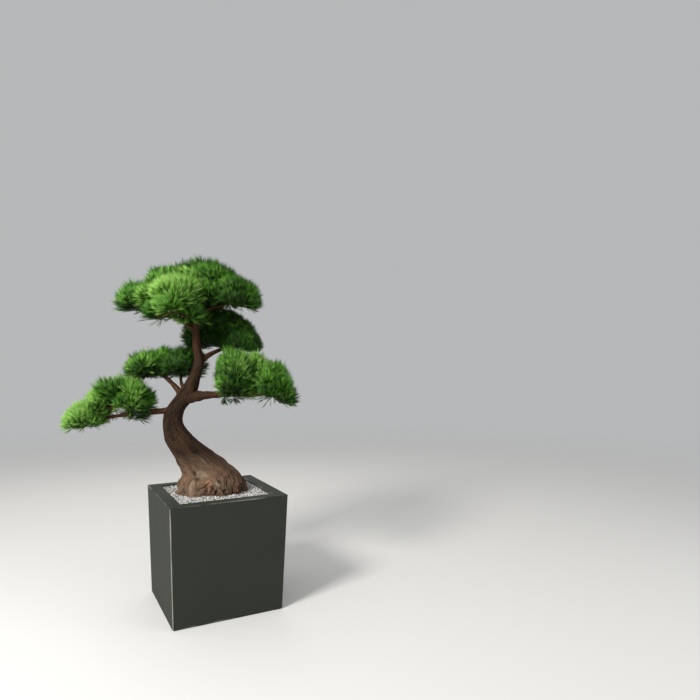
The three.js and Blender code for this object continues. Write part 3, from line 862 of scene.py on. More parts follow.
# %% The boughs' paths
BOUGHS = {
    "low_left": ([(-215, 8, 404), (-400, -40, 398), (-540, -60, 370)], (19, 8)),
    "low_left_riser": ([(-344, -29, 398), (-384, -34, 399), (-408, -42, 414)], (11, 7)),
    "mid_left": ([(-165, 8, 470), (-215, 30, 540), (-298, 48, 594)], (20, 9)),
    "mid_left_fork": ([(-150, 12, 500), (-196, 44, 535), (-194, 80, 592)], (12, 7)),
    "right": ([(-140, -4, 468), (-20, -30, 494), (185, -40, 484)], (34, 10)),
    "right_riser": ([(40, -31, 488), (84, -34, 492), (110, -40, 516)], (12, 7)),
    "upper_right": ([(-90, -2, 640), (-40, 30, 694), (22, 90, 716)], (21, 9)),
    "upper_back": ([(-96, 0, 706), (-110, 56, 744), (-104, 112, 752)], (13, 7)),
    "crown_left": ([(-98, 2, 800), (-170, 0, 866), (-270, 0, 904)], (13, 8)),
    "crown_front": ([(-100, 2, 846), (-112, -60, 880), (-146, -110, 888)], (11, 7)),
    "crown_right": ([(-101, 2, 872), (-50, 0, 920), (24, -6, 930)], (11, 7)),
    "crown_back": ([(-100, 2, 838), (-106, 70, 890), (-136, 128, 912)], (11, 7)),
    "crown_top": ([(-105, 2, 912), (-128, 8, 960), (-178, 14, 992)], (9, 6)),
}
BOUGH_FLARE = 1.7


def bezier(path, t):
    """Points on the curve from the first to the last of three points, bent towards the middle one"""
    a, b, c = (np.array(p, float) for p in path)
    t = np.atleast_1d(np.asarray(t, float))[:, None]
    return (1 - t) ** 2 * a + 2 * t * (1 - t) * b + t**2 * c


def bezier_way(path, t):
    """Unit vectors along that curve"""
    a, b, c = (np.array(p, float) for p in path)
    t = np.atleast_1d(np.asarray(t, float))[:, None]
    return unit((1 - t) * (b - a) + t * (c - b))


def bezier_length(path):
    return np.linalg.norm(np.diff(bezier(path, np.linspace(0, 1, 30)), axis=0), axis=1).sum()


def bough_radius(radii, t):
    """The bough's radius at its share t of the way, from its foot's radius to its tip's"""
    return mix(radii[1], radii[0], (1 - t) ** BOUGH_FLARE)


print("boughs", {name: round(bezier_length(path)) for name, (path, radii) in BOUGHS.items()})

# %% The boughs' meshes
BOUGH_SIDES = 28
BOUGH_STEP = 4
KNUCKLE = 0.09
BOUGH_PLATE_WIDTH = 7
BOUGH_PLATE_LENGTH = 22
BOUGH_CRACK = 0.07
# How much painted shade a bough has at the trunk, and how far out that fades
COLLAR = (1.2, 45)
COLLARS = {"right": (1.4, 420), "low_left": (0.2, 20)}
UPRIGHT = np.array([0.0, 0.0, 1.0])
SIDEWAYS = np.array([1.0, 0.0, 0.0])


def bough_rings(path, radii, number):
    """A bough's rings, and the place round and along it that its points carry"""
    length = bezier_length(path)
    t = np.linspace(0, 1, int(length / BOUGH_STEP) + 1)
    ways = bezier_way(path, t)
    angle = np.arange(BOUGH_SIDES) / BOUGH_SIDES * 2 * math.pi
    level = radii[0] * np.stack([np.cos(angle), np.sin(angle)], 1)
    across = UPRIGHT if abs(ways[0][2]) < 0.9 else SIDEWAYS
    rings, grain = [], []
    for share, middle, way in zip(t, bezier(path, t), ways):
        across = unit(across - way * (across @ way))
        round_it = np.outer(np.cos(angle), across) + np.outer(np.sin(angle), np.cross(way, across))
        along = share * length
        knuckle = KNUCKLE * math.sin(along / 11 + number) * math.sin(along / 29 + 2 * number)
        rings.append(middle + bough_radius(radii, share) * (1 + knuckle) * round_it)
        grain.append(np.column_stack([level, np.full(BOUGH_SIDES, along + 300 * number)]))
    return rings, np.concatenate(grain)


BOUGH_DARK = paint(0.030, 0.016, 0.009)
BOUGH_LIGHT = paint(0.132, 0.063, 0.030)
bough_bark = bark_finish(
    "bough_bark", BOUGH_DARK, BOUGH_LIGHT, BARK_RED, BOUGH_LIGHT, BOUGH_LIGHT, BARK_RED, FLAKE_ORANGE
)
for number, (name, (path, radii)) in enumerate(BOUGHS.items()):
    rings, grain = bough_rings(path, radii, number)
    cracks = bark_plates(grain, BOUGH_PLATE_WIDTH, BOUGH_PLATE_LENGTH)
    carve(rings, BOUGH_CRACK * radii[1] * cracks)
    shade, length = COLLARS.get(name, COLLAR)
    collar = shade * np.exp((grain[0, 2] - grain[:, 2]) / length)
    # The collar's painted shade goes in the same mask as the trunk's grooves
    values = {"grain": with_hubs(grain) * MM, "crack": with_hubs(cracks), "painted_shade": with_hubs(collar)}
    points, faces = loft(rings)
    mesh = make_mesh(f"bough_{name}_bark", points * MM, faces, **values)
    limbs.append(mesh.copy())
    mesh.transform(PLANTING)
    mesh.materials.append(bough_bark)
    add_piece(f"bough_{name}_bark", mesh, [f"bough_{name}"])

# %% [markdown]
# ## Where the pads are
#
# Each pad of needles has a space of its own, a flattened ball with a flat underside. Its bearer's tip
# carries on as a stem to the heart of the pad, twigs fork from the stem, and each ends in a tuft. The
# tufts lie on a golden spiral, which spreads them evenly with no rows: upright in the middle, leaning
# out at the rim, and every third one hanging lower. This is the rule that placed the solids' tufts, with
# the same seeds, so the fine needles stand where the solids say.

# %% The pads' spaces
MASSES = {
    # name: bearer, middle, reach, underside, tufts, seed
    "low_left_outer": ("low_left", (-626, -60, 390), (116, 124, 100), 0.95, 9, 52),
    "low_left_inner": ("low_left_riser", (-430, -46, 484), (168, 152, 132), 0.92, 15, 19),
    "mid_left_outer": ("mid_left", (-362, 58, 638), (108, 118, 88), 0.95, 10, 55),
    "mid_left_inner": ("mid_left_fork", (-192, 90, 650), (122, 126, 98), 0.95, 13, 60),
    "right_inner": ("right_riser", (108, -50, 602), (122, 142, 148), 0.95, 14, 60),
    "right_outer": ("right", (288, -38, 554), (130, 134, 140), 0.97, 14, 31),
    "upper_right": ("upper_right", (98, 130, 796), (146, 126, 124), 0.95, 11, 10),
    "upper_back": ("upper_back", (-84, 134, 812), (114, 118, 114), 0.95, 8, 21),
    "crown_left": ("crown_left", (-360, 4, 972), (146, 150, 112), 0.92, 12, 32),
    "crown_front": ("crown_front", (-172, -130, 968), (184, 146, 138), 0.95, 14, 33),
    "crown_right": ("crown_right", (96, -14, 1000), (160, 150, 112), 0.92, 13, 41),
    "crown_back": ("crown_back", (-146, 156, 984), (184, 142, 122), 0.95, 12, 36),
    "crown_top_left": ("crown_top", (-192, 14, 1076), (112, 124, 94), 0.9, 8, 21),
    "crown_top_right": ("trunk", (-16, 14, 1084), (120, 126, 96), 0.95, 8, 24),
}
NEEDLE_LENGTH = 116
CORE_AHEAD = 16
RIM_SHARE = 0.42
RIM_TILT = math.radians(66)
LOWERED = 0.5
LOWERED_TILT = math.radians(10)
FLOOR = 0.6
FIRST_FORK = 0.5
STEM_DROP = 0.4
GOLDEN_ANGLE = math.pi * (3 - math.sqrt(5))


def stem_path(bearer, middle, reach):
    """The curve from the bearer's tip to the heart of the pad, and the stem's radius at its foot"""
    if bearer == "trunk":
        z, x, y, radius = TRUNK_SLICES[-1][:4]
        tip, way, radius = np.array([x, y, z]), UPRIGHT, 0.9 * radius
    else:
        path, radii = BOUGHS[bearer]
        tip, way, radius = bezier(path, 1)[0], bezier_way(path, 1)[0], radii[1]
    start = tip + way * CLEARANCE
    heart = middle - (0, 0, STEM_DROP * reach[2])
    bend = start + way * 0.5 * np.linalg.norm(heart - start)
    return [start, bend, heart], radius


def tufts_of(middle, reach, underside, count, seed):
    """Each tuft's place, its facing, how far out it is, whether it hangs, and where its twig forks off"""
    roll = dice(seed)
    tufts = []
    for i in range(count):
        out = math.sqrt((i + 0.5) / count)
        angle = i * GOLDEN_ANGLE + seed + mix(-0.3, 0.3, roll())
        size = NEEDLE_LENGTH * mix(0.88, 1.08, roll())
        hangs = 1 if i % 3 == 2 else 0
        tilt = RIM_TILT * out * mix(0.85, 1.15, roll()) + LOWERED_TILT * hangs
        x = (reach[0] - RIM_SHARE * size) * out * math.cos(angle)
        y = (reach[1] - RIM_SHARE * size) * out * math.sin(angle)
        roof = reach[2] * math.sqrt(1 - (x / reach[0]) ** 2 - (y / reach[1]) ** 2)
        top = roof - size * math.cos(tilt) - CORE_AHEAD - LOWERED * reach[2] * hangs
        z = max(top, -FLOOR * underside * reach[2])
        facing = (math.sin(tilt) * math.cos(angle), math.sin(tilt) * math.sin(angle), math.cos(tilt))
        fork = mix(FIRST_FORK, 1, roll())
        tufts.append((np.array([x, y, z]) + middle, np.array(facing), out, hangs, fork))
    return tufts


print("tufts in all", sum(mass[4] for mass in MASSES.values()))

# %% [markdown]
# ## The pads' outlines
#
# Real pads aren't level balls. They slope with their boughs, bulge on top and are flat below, and where
# two meet, their ends are kept slim. So the needles' space is the solid's ball, sunk a little and
# trimmed, in which everything leans to one side, with a sloping floor that closes it underneath. A
# sculpted hull could do this too, but a ball and a plane are quick to work out for every needle.

# %% The pads' outlines
SINK = 0.3
INSIDE = 0.94
FOOT_ROOM = 16
OUTLINES = {
    # name: rise to the right, trim of the half sizes, shift, depth of the floor, its rise, brightness
    "low_left_outer": (0.45, (0.88, 0.84, 1), 0, 0.90, 0.42, 0.50),
    "low_left_inner": (-0.16, (0.95, 1, 1), -8, 1.05, -0.12, 0.04),
    "mid_left_outer": (0.30, (1, 1, 1), 0, 0.90, 0.15, 0.02),
    "mid_left_inner": (0.0, (1, 1, 1), 0, 0.90, 0.0, -0.18),
    "right_inner": (-0.06, (0.87, 1, 1), 14, 1.20, 0.0, 0.12),
    "right_outer": (-0.56, (0.98, 0.84, 1), 0, 0.92, 0.0, 0.06),
    "upper_right": (-0.70, (0.80, 1, 0.80), -6, 0.90, 0.0, -0.30),
    "upper_back": (0.0, (1, 1, 1), 0, 0.90, 0.0, -0.02),
    "crown_left": (0.42, (1, 1, 1), 0, 0.75, -0.10, 0.04),
    "crown_front": (0.0, (1, 1, 1), 0, 1.05, 0.0, 0.42),
    "crown_right": (-0.60, (1, 1, 1), 0, 0.92, 0.0, -0.08),
    "crown_back": (0.0, (1, 1, 1), 0, 0.90, 0.0, -0.10),
    "crown_top_left": (0.30, (1, 1, 1), 0, 0.90, 0.0, -0.30),
    "crown_top_right": (-0.62, (1, 1, 1), 0, 0.90, 0.0, -0.08),
}


class Pad:
    """One pad: the space of its needles, its stem, and the shoots and twigs that have grown in it"""

    def __init__(self, name):
        bearer, middle, reach, underside, count, seed = MASSES[name]
        self.middle, self.reach = np.array(middle, float), np.array(reach, float)
        self.rise, trim, shift, depth, self.floor_rise, self.bright = OUTLINES[name]
        self.floor = depth * underside
        self.ball_middle = self.middle + (shift, 0, -SINK * self.reach[2])
        self.ball_reach = self.reach * trim * (1, 1, 1 + SINK)
        self.stem, self.radius = stem_path(bearer, self.middle, self.reach)
        self.tufts = tufts_of(self.middle, self.reach, underside, count, seed)
        self.roll = dice(5000 + seed + 97 * list(MASSES).index(name))
        self.shoots, self.twigs = [], []

    def kept_inside(self, place):
        """The place itself, or the nearest one that lies inside the leaning ball and above the floor"""
        lean = np.array([0, 0, self.rise])
        home = (place - self.ball_middle) / self.ball_reach
        home = home - lean * home[0]
        home *= min(1, INSIDE / np.linalg.norm(home))
        place = self.ball_middle + (home + lean * home[0]) * self.ball_reach
        floor = self.middle[2] + (self.floor_rise * home[0] - self.floor) * self.reach[2]
        place[2] = max(place[2], floor + FOOT_ROOM)
        return place


PADS = {name: Pad(name) for name in MASSES}
print("pads", len(PADS))

# %% [markdown]
# ## Shoots
#
# The solids stop at a tuft. Here each tuft is carried on to what a pine really has: a leader with a tight
# whorl of short shoots round it, whose needles make one burst. A shoot is only a line with some values on it,
# such as its axis and its tint, because the needles are grown along it afterwards. Light and shade are
# painted by whole bursts: a burst's tint is lighter where the sun would reach it and darker in the shade, and
# the deep greens also stand for last year's needles.

# %% Shoots and bursts
TINTS = 5
TINT_SCATTER = 0.10
BURST_SCATTER = 0.26
BURST_LIMITS = (1.1, 1.8)
LEADER_LENGTH = 22
SHOOT_LENGTH = 14
SHOOT_LIFT = 0.12
SHOOT_WOOD = (1.9, 1.1)
BURST_WOOD = (3.4, 2.2)
WHORL_SPREAD = math.radians(33)
WHORL_VIGOUR = 0.95
WHORL_SHADE = 0.04


def square_to(way):
    """Two unit vectors square to a way and to each other"""
    side = unit(np.cross(way, UPRIGHT if abs(way[2]) < 0.9 else SIDEWAYS))
    return side, np.cross(way, side)


def leaning(way, tilt, around):
    side, other = square_to(way)
    return way * math.cos(tilt) + (side * math.cos(around) + other * math.sin(around)) * math.sin(tilt)


def scatter(pad, size):
    """A number between minus and plus this size"""
    return size * mix(-1, 1, pad.roll())


def grow_shoot(pad, foot, axis, length, vigour, light, limit=1.0):
    """One shoot and its wood; its limit says how far past the pad's outline its needles may reach"""
    axis = unit(axis + (0, 0, SHOOT_LIFT))
    length *= mix(0.8, 1.2, pad.roll())
    light += scatter(pad, TINT_SCATTER)
    tint = min(TINTS - 1, max(0, int(TINTS * light)))
    pad.shoots.append((foot, axis, length, vigour, limit, tint))
    pad.twigs.append((foot, foot + axis * length, *SHOOT_WOOD))


def grow_burst(pad, root, place, facing, vigour, light, whorl, limit=None):
    """A twig from its root to a place, with a leader there and a whorl of shoots round it"""
    place = pad.kept_inside(place)
    limit = limit or mix(*BURST_LIMITS, pad.roll())
    pad.twigs.append((root, place, *BURST_WOOD))
    grow_shoot(pad, place, facing, LEADER_LENGTH, vigour, light, limit)
    for k in range(whorl):
        around = (k + 0.6 * pad.roll()) * 2 * math.pi / whorl
        axis = leaning(facing, WHORL_SPREAD * mix(0.7, 1.25, pad.roll()), around)
        grow_shoot(pad, place, axis, SHOOT_LENGTH, WHORL_VIGOUR * vigour, light - WHORL_SHADE, limit)


# %% [markdown]
# Every tuft gets a full burst on top, a smaller one beside and below it, and a weak shoot lower on its
# twig. The tufts are drawn in towards the heart first, and sink towards the rim, because the long needles
# reach out again from there and the pad is a dome. Bursts that are higher or further out get more light.

# %% Bursts on the tufts
TWIG_RADIUS = 4.5
STEM_PARTS = 8
PULL_IN = np.array([0.69, 0.69, 0.9])
DOME = 0.45
FACING_LIFT = 0.45
WHORL = 5
SIDE_WHORL = 3
SIDE_BURST_OUT = 30
SIDE_BURST_DOWN = 34
SIDE_BURST_SHADE = 0.12
TUFT_LIGHT = 0.42
HEIGHT_LIGHT = 0.42
OUTER_LIGHT = 0.16
HANGING_SHADE = 0.14
LOW_SHOOT_SHADE = 0.25


def grow_stem(pad):
    run = bezier(pad.stem, np.linspace(0, 1, STEM_PARTS + 1))
    widths = [mix(pad.radius, TWIG_RADIUS, k / STEM_PARTS) for k in range(STEM_PARTS + 1)]
    pad.twigs.extend(zip(run, run[1:], widths, widths[1:]))


def grow_tufts(pad):
    roll = pad.roll
    for place, facing, out, hangs, fork in pad.tufts:
        place = pad.middle + PULL_IN * (place - pad.middle)
        leans = pad.rise * (place[0] - pad.middle[0]) / pad.reach[0]
        place[2] += pad.reach[2] * (leans - DOME * out**2)
        facing = unit(facing + (0, 0, FACING_LIFT))
        root = bezier(pad.stem, fork)[0]
        height = (place[2] - pad.middle[2]) / pad.reach[2]
        # Painted light: higher and outer bursts get lighter tints, hanging ones darker
        light = TUFT_LIGHT + HEIGHT_LIGHT * height + OUTER_LIGHT * out - HANGING_SHADE * hangs + pad.bright
        light += scatter(pad, BURST_SCATTER)
        vigour = mix(0.82, 1.12, roll()) * (0.85 if hangs else 1)
        grow_burst(pad, root, place, facing, vigour, light, WHORL)
        aside = leaning(facing, math.radians(90), 2 * math.pi * roll())
        side_place = place + SIDE_BURST_OUT * aside - SIDE_BURST_DOWN * facing
        side_light = light + scatter(pad, BURST_SCATTER) - SIDE_BURST_SHADE
        side_facing = unit(facing + 0.4 * aside)
        grow_burst(pad, mix(root, place, 0.5), side_place, side_facing, vigour, side_light, SIDE_WHORL)
        foot = mix(root, place, mix(0.3, 0.85, roll()))
        axis = leaning(unit(place - root), math.radians(mix(35, 75, roll())), 2 * math.pi * roll())
        grow_shoot(pad, foot, axis, SHOOT_LENGTH, 0.75 * vigour, light - LOW_SHOOT_SHADE)


# %% [markdown]
# Low bursts out at the rim make the flat, shaded edge below. They face outwards rather than up.

# %% Bursts at the rim
RIM_BURSTS = 8
RIM_OUT = 0.45
RIM_LEVEL = -0.6
RIM_LEVEL_SCATTER = 0.26
RIM_FACING = math.radians(62)
RIM_LIGHT = 0.28
RIM_SHADE = 1.2
RIM_LIGHT_SCATTER = 0.1


def grow_rim(pad):
    roll = pad.roll
    for k in range(RIM_BURSTS):
        angle = (k + 0.7 * roll()) * 2 * math.pi / RIM_BURSTS
        drop = scatter(pad, RIM_LEVEL_SCATTER)
        level = RIM_LEVEL * pad.floor - drop
        out = np.array([math.cos(angle), math.sin(angle), 0])
        place = pad.middle + pad.reach * (RIM_OUT * out + (0, 0, level + pad.rise * RIM_OUT * out[0]))
        facing = out * math.sin(RIM_FACING) + (0, 0, math.cos(RIM_FACING))
        light = RIM_LIGHT + pad.bright - RIM_SHADE * drop + scatter(pad, RIM_LIGHT_SCATTER)
        root = bezier(pad.stem, mix(0.6, 1, roll()))[0]
        grow_burst(pad, root, place, facing, mix(0.8, 0.95, roll()), light, SIDE_WHORL)


# %% [markdown]
# Between two pads that touch, a ring of bursts closes the gap, so that they grow into each other as
# they do on the tree.

# %% Bursts between pads
BRIDGE_BURSTS = 8
BRIDGE_OUT = (0.05, 0.3)
BRIDGE_LOWEST = -0.35
BRIDGE_SINK = 14
BRIDGE_LIFT = 0.14
BRIDGE_LIMIT = 2.2
BRIDGE_VIGOUR = 0.86
BRIDGE_LIGHT = 0.34
BRIDGE_TOP_LIGHT = 0.12
BRIDGES = [
    ("low_left_inner", "low_left_outer"),
    ("mid_left_inner", "mid_left_outer"),
    ("right_inner", "right_outer"),
    ("right_outer", "right_inner"),
    ("upper_right", "upper_back"),
    ("upper_right", "crown_right"),
    ("upper_right", "right_inner"),
    ("upper_back", "crown_right"),
    ("upper_back", "crown_front"),
    ("crown_front", "crown_left"),
    ("crown_front", "crown_right"),
    ("crown_front", "crown_top_left"),
    ("crown_left", "crown_top_left"),
    ("crown_top_right", "crown_right"),
    ("crown_front", "crown_top_right"),
    ("crown_back", "crown_top_left"),
    ("crown_back", "crown_top_right"),
]


def grow_bridge(pad, other):
    """A ring of bursts round the line between two pads, left open below"""
    roll = pad.roll
    way = unit(other.middle - pad.middle)
    near_edge = pad.middle + way / np.linalg.norm(way / pad.reach)
    far_edge = other.middle - way / np.linalg.norm(way / other.reach)
    light = BRIDGE_LIGHT + 0.5 * (pad.bright + other.bright)
    for k in range(BRIDGE_BURSTS):
        facing = leaning(way, math.radians(90), (k + 0.6 * roll()) * 2 * math.pi / BRIDGE_BURSTS)
        out = mix(*BRIDGE_OUT, roll())
        if facing[2] > BRIDGE_LOWEST:
            place = mix(near_edge, far_edge, 0.5) + out * pad.reach * facing - (0, 0, BRIDGE_SINK)
            place[2] += BRIDGE_LIFT * max(0, facing[2]) * pad.reach[2]
            light_here = light + BRIDGE_TOP_LIGHT * facing[2] + scatter(pad, BURST_SCATTER)
            root = bezier(pad.stem, 1)[0]
            grow_burst(pad, root, place, facing, BRIDGE_VIGOUR, light_here, SIDE_WHORL, BRIDGE_LIMIT)


# %% [markdown]
# Where a bough runs through a pad, small shoots sit on the bough as well.

# %% Shoots on the boughs
BOUGH_SHOOT_STEP = 9
BOUGH_BARE = 0.45
BOUGH_SHOOT_VIGOUR = 0.66
BOUGH_SHOOT_LIGHT = 0.10


def bough_feet(pad):
    """Feet of small shoots on the stretches of bough that run through a pad, with their axes"""
    feet = []
    for path, radii in BOUGHS.values():
        for t in np.arange(BOUGH_BARE, 1, BOUGH_SHOOT_STEP / bezier_length(path)):
            foot, way = bezier(path, t)[0], bezier_way(path, t)[0]
            if np.linalg.norm((foot - pad.middle) / pad.reach) < INSIDE:
                axis = leaning(way, math.radians(mix(50, 90, pad.roll())), 2 * math.pi * pad.roll())
                feet.append((foot + axis * bough_radius(radii, t), axis))
    return feet


def grow_on_boughs(pad):
    for foot, axis in bough_feet(pad):
        grow_shoot(pad, foot, axis, SHOOT_LENGTH, BOUGH_SHOOT_VIGOUR, BOUGH_SHOOT_LIGHT + pad.bright)


# %% [markdown]
# Low on the left the foliage is thin, and the background shows between the pad and the bough that
# carries it. Shoots whose needles would close that place are left out, over the pad's whole depth.

# %% Grow the shoots
# Across, height and radius of the gap
GAPS = {"low_left_inner": (-486, 423, 56), "low_left_outer": (-486, 423, 56)}
GAP_AHEAD = 45


def closes_gap(name, foot, axis):
    if name not in GAPS:
        return False
    x, z, radius = GAPS[name]
    needles = foot + GAP_AHEAD * axis
    return math.hypot(needles[0] - x, needles[2] - z) < radius


for name, pad in PADS.items():
    grow_stem(pad)
    grow_tufts(pad)
    grow_rim(pad)
    for other in [b for a, b in BRIDGES if a == name]:
        grow_bridge(pad, PADS[other])
    grow_on_boughs(pad)
    pad.shoots = [shoot for shoot in pad.shoots if not closes_gap(name, *shoot[:2])]
print("shoots in all", sum(len(pad.shoots) for pad in PADS.values()))

# %% [markdown]
# ## Growing needles with Geometry Nodes
#
# One tree does it for every pad. It takes the shoots as edges, puts points along each, turns a needle at
# every point round the shoot by the golden angle, and leans it less and less towards the tip, as a
# brush of needles does.

# %% Which way each needle grows
FULL_TURN = 6.283


def stored(tree, name, kind="FLOAT"):
    """A value that the mesh carries"""
    made = add_node(tree, "GeometryNodeInputNamedAttribute", {"Name": name}, data_type=kind)
    return made.outputs["Attribute"]


def chance(tree, seed, low, high, salt):
    """A random number for each point, the same on every run"""
    made = add_node(tree, "FunctionNodeRandomValue", {2: low, 3: high}, data_type="FLOAT")
    feed(tree, made.inputs["Seed"], plus(tree, seed, salt))
    return made.outputs[1]


def stretch(tree, vector, factor):
    """A vector times a number"""
    made = add_node(tree, "ShaderNodeVectorMath", {0: vector, "Scale": factor}, operation="SCALE")
    return made.outputs["Vector"]


def needle_way(tree, given):
    """The unit vector along each needle"""
    axis, side = stored(tree, "axis", "FLOAT_VECTOR"), stored(tree, "side", "FLOAT_VECTOR")
    other = vectors(tree, "CROSS_PRODUCT", axis, side)
    index = add_node(tree, "GeometryNodeInputIndex").outputs[0]
    around = plus(tree, times(tree, index, GOLDEN_ANGLE), chance(tree, given["Seed"], -0.5, 0.5, 1))
    leans = {0: stored(tree, "along"), 3: given["Foot tilt"], 4: given["Tip tilt"]}
    lean = add_node(tree, "ShaderNodeMapRange", leans).outputs[0]
    tilt = plus(tree, lean, chance(tree, given["Seed"], -0.2, 0.2, 2))
    round_side = stretch(tree, side, sums(tree, "COSINE", around))
    round_other = stretch(tree, other, sums(tree, "SINE", around))
    spread = stretch(tree, vectors(tree, "ADD", round_side, round_other), sums(tree, "SINE", tilt))
    ahead = stretch(tree, axis, sums(tree, "COSINE", tilt))
    up = stretch(tree, (0, 0, 1), given["Lift"])
    return vectors(tree, "NORMALIZE", vectors(tree, "ADD", vectors(tree, "ADD", ahead, spread), up))


# %% [markdown]
# A needle stops at the pad's outline. Seen from the ball's middle, with the ball stretched to a round one
# of size 1, that is where the needle's line meets the sphere, which is the root of a quadratic. It also
# stops where it comes down to the floor. Two scatters make this outline ragged, as clipped pads are.

# %% How far each needle may reach
def levelled(tree, vector, rise):
    """A place in a pad that rises to one side, as it would be in a level one"""
    parts = add_node(tree, "ShaderNodeSeparateXYZ", {0: vector}).outputs
    fallen = minus(tree, parts["Z"], times(tree, parts["X"], rise))
    return add_node(tree, "ShaderNodeCombineXYZ", {0: parts["X"], 1: parts["Y"], 2: fallen}).outputs[0]


def height_of(tree, vector):
    return add_node(tree, "ShaderNodeSeparateXYZ", {0: vector}).outputs["Z"]


def needle_room(tree, given, place, way, size):
    """The share of its length at which each needle meets the pad's outline or its floor"""
    home_plain = vectors(tree, "DIVIDE", vectors(tree, "SUBTRACT", place, given["Middle"]), given["Reach"])
    step_plain = vectors(tree, "DIVIDE", stretch(tree, way, size), given["Reach"])
    home, step = (levelled(tree, v, given["Rise"]) for v in (home_plain, step_plain))
    step_step = vectors(tree, "DOT_PRODUCT", step, step)
    home_step = vectors(tree, "DOT_PRODUCT", home, step)
    inside = minus(tree, vectors(tree, "DOT_PRODUCT", home, home), 1.0)
    root = minus(tree, times(tree, home_step, home_step), times(tree, step_step, inside))
    far = minus(tree, sums(tree, "SQRT", sums(tree, "MAXIMUM", root, 0.0)), home_step)
    leaves = sums(tree, "DIVIDE", far, step_step)
    low_home, low_step = (levelled(tree, v, given["Floor rise"]) for v in (home_plain, step_plain))
    room = plus(tree, height_of(tree, low_home), given["Underside"])
    fall = sums(tree, "MAXIMUM", times(tree, height_of(tree, low_step), -1.0), 1e-4)
    lands = sums(tree, "MAXIMUM", sums(tree, "DIVIDE", room, fall), 0.0)
    return sums(tree, "MINIMUM", leaves, lands)


# %% [markdown]
# Raycast finds the needles that would run into bark. These are left out, and so are those too short to
# look like needles. Each pair's tint is its shoot's tint with a scatter of its own, so that light and
# dark needles mix in every burst. A material is chosen for each by comparing that number.

# %% Turning needles and dealing out materials
def deal_out(tree, geometry, number, materials, middle, reach):
    """Gives each part of a geometry the material whose place in the list is near its number"""
    for k, material in enumerate(materials):
        chosen = sums(tree, "COMPARE", number, k + middle, reach)
        parts = {"Geometry": geometry, "Selection": chosen, "Material": material}
        geometry = add_node(tree, "GeometryNodeSetMaterial", parts).outputs[0]
    return geometry


def standing(tree, given, way):
    """A rotation that stands each needle along its way and spins it about itself"""
    upright = add_node(tree, "FunctionNodeAlignRotationToVector", {"Vector": way}, axis="Z").outputs[0]
    turn = {"Axis": (0, 0, 1), "Angle": chance(tree, given["Seed"], 0, FULL_TURN, 5)}
    spin = add_node(tree, "FunctionNodeAxisAngleToRotation", turn).outputs[0]
    both = {0: upright, 1: spin}
    return add_node(tree, "FunctionNodeRotateRotation", both, rotation_space="LOCAL").outputs[0]


# %% The needle tree
SHADE_SCATTER = 1.45
RAGGED = (0.84, 1.1)
LENGTHS = (0.72, 1.1)


def needle_tree():
    tree = bpy.data.node_groups.new("Needles on shoots", "GeometryNodeTree")
    sockets(tree, "INPUT", Shoots="Geometry", Pairs="Int", Length="Float", Foot_tilt="Float")
    sockets(tree, "INPUT", Tip_tilt="Float", Lift="Float", Middle="Vector", Reach="Vector")
    sockets(tree, "INPUT", Rise="Float", Floor_rise="Float")
    sockets(tree, "INPUT", Underside="Float", Shortest="Float", Seed="Int", Needle="Object", Limbs="Object")
    sockets(tree, "INPUT", **{f"Tint_{k}": "Material" for k in range(TINTS)})
    sockets(tree, "OUTPUT", Needles="Geometry")
    given = add_node(tree, "NodeGroupInput").outputs
    lines = add_node(tree, "GeometryNodeMeshToCurve", {"Mesh": given["Shoots"]}).outputs[0]
    spots = add_node(tree, "GeometryNodeResampleCurve", {"Curve": lines, "Count": given["Pairs"]}).outputs[0]
    place = add_node(tree, "GeometryNodeInputPosition").outputs[0]
    way = needle_way(tree, given)
    vigour = times(tree, stored(tree, "vigour"), chance(tree, given["Seed"], *LENGTHS, 3))
    size = times(tree, given["Length"], vigour)

    ragged = times(tree, stored(tree, "limit"), chance(tree, given["Seed"], *RAGGED, 4))
    share = times(tree, needle_room(tree, given, place, way, size), ragged)
    bark = add_node(tree, "GeometryNodeObjectInfo", {"Object": given["Limbs"]}).outputs["Geometry"]
    ray = add_node(tree, "GeometryNodeRaycast", {
        "Target Geometry": bark, "Source Position": place, "Ray Direction": way, "Ray Length": size})
    blocked = times(tree, ray.outputs["Is Hit"], 2.0)
    share = minus(tree, sums(tree, "MINIMUM", share, 1.0), blocked)
    keep = sums(tree, "GREATER_THAN", share, given["Shortest"])

    jitter = chance(tree, given["Seed"], -SHADE_SCATTER, SHADE_SCATTER, 6)
    shade = sums(tree, "ROUND", plus(tree, stored(tree, "tint"), jitter))
    shade = add_node(tree, "ShaderNodeClamp", {"Value": shade, "Min": 0.0, "Max": TINTS - 1.0}).outputs[0]
    spots = add_node(tree, "GeometryNodeStoreNamedAttribute", {
        "Geometry": spots, "Name": "shade", "Value": shade}, data_type="FLOAT", domain="POINT").outputs[0]
    tall = add_node(tree, "ShaderNodeCombineXYZ", {0: 1.0, 1: 1.0, 2: times(tree, size, share)})
    needle = add_node(tree, "GeometryNodeObjectInfo", {"Object": given["Needle"], "As Instance": True})
    planted = add_node(tree, "GeometryNodeInstanceOnPoints", {
        "Points": spots, "Selection": keep, "Instance": needle.outputs["Geometry"],
        "Rotation": standing(tree, given, way), "Scale": tall.outputs[0]})
    whole = add_node(tree, "GeometryNodeRealizeInstances", {0: planted.outputs[0]}).outputs[0]
    tints = [given[f"Tint {k}"] for k in range(TINTS)]
    whole = deal_out(tree, whole, stored(tree, "shade"), tints, 0.0, 0.3)
    add_node(tree, "NodeGroupOutput", {"Needles": whole})
    return tree


NEEDLES = needle_tree()
print("needle tree", len(NEEDLES.nodes), "nodes")

# %% [markdown]
# ## Running a tree
#
# A modifier runs the tree on a helper object. Its inputs are set by each socket's identifier, the result
# is taken from the evaluated object as a plain mesh, and the helper is thrown away.

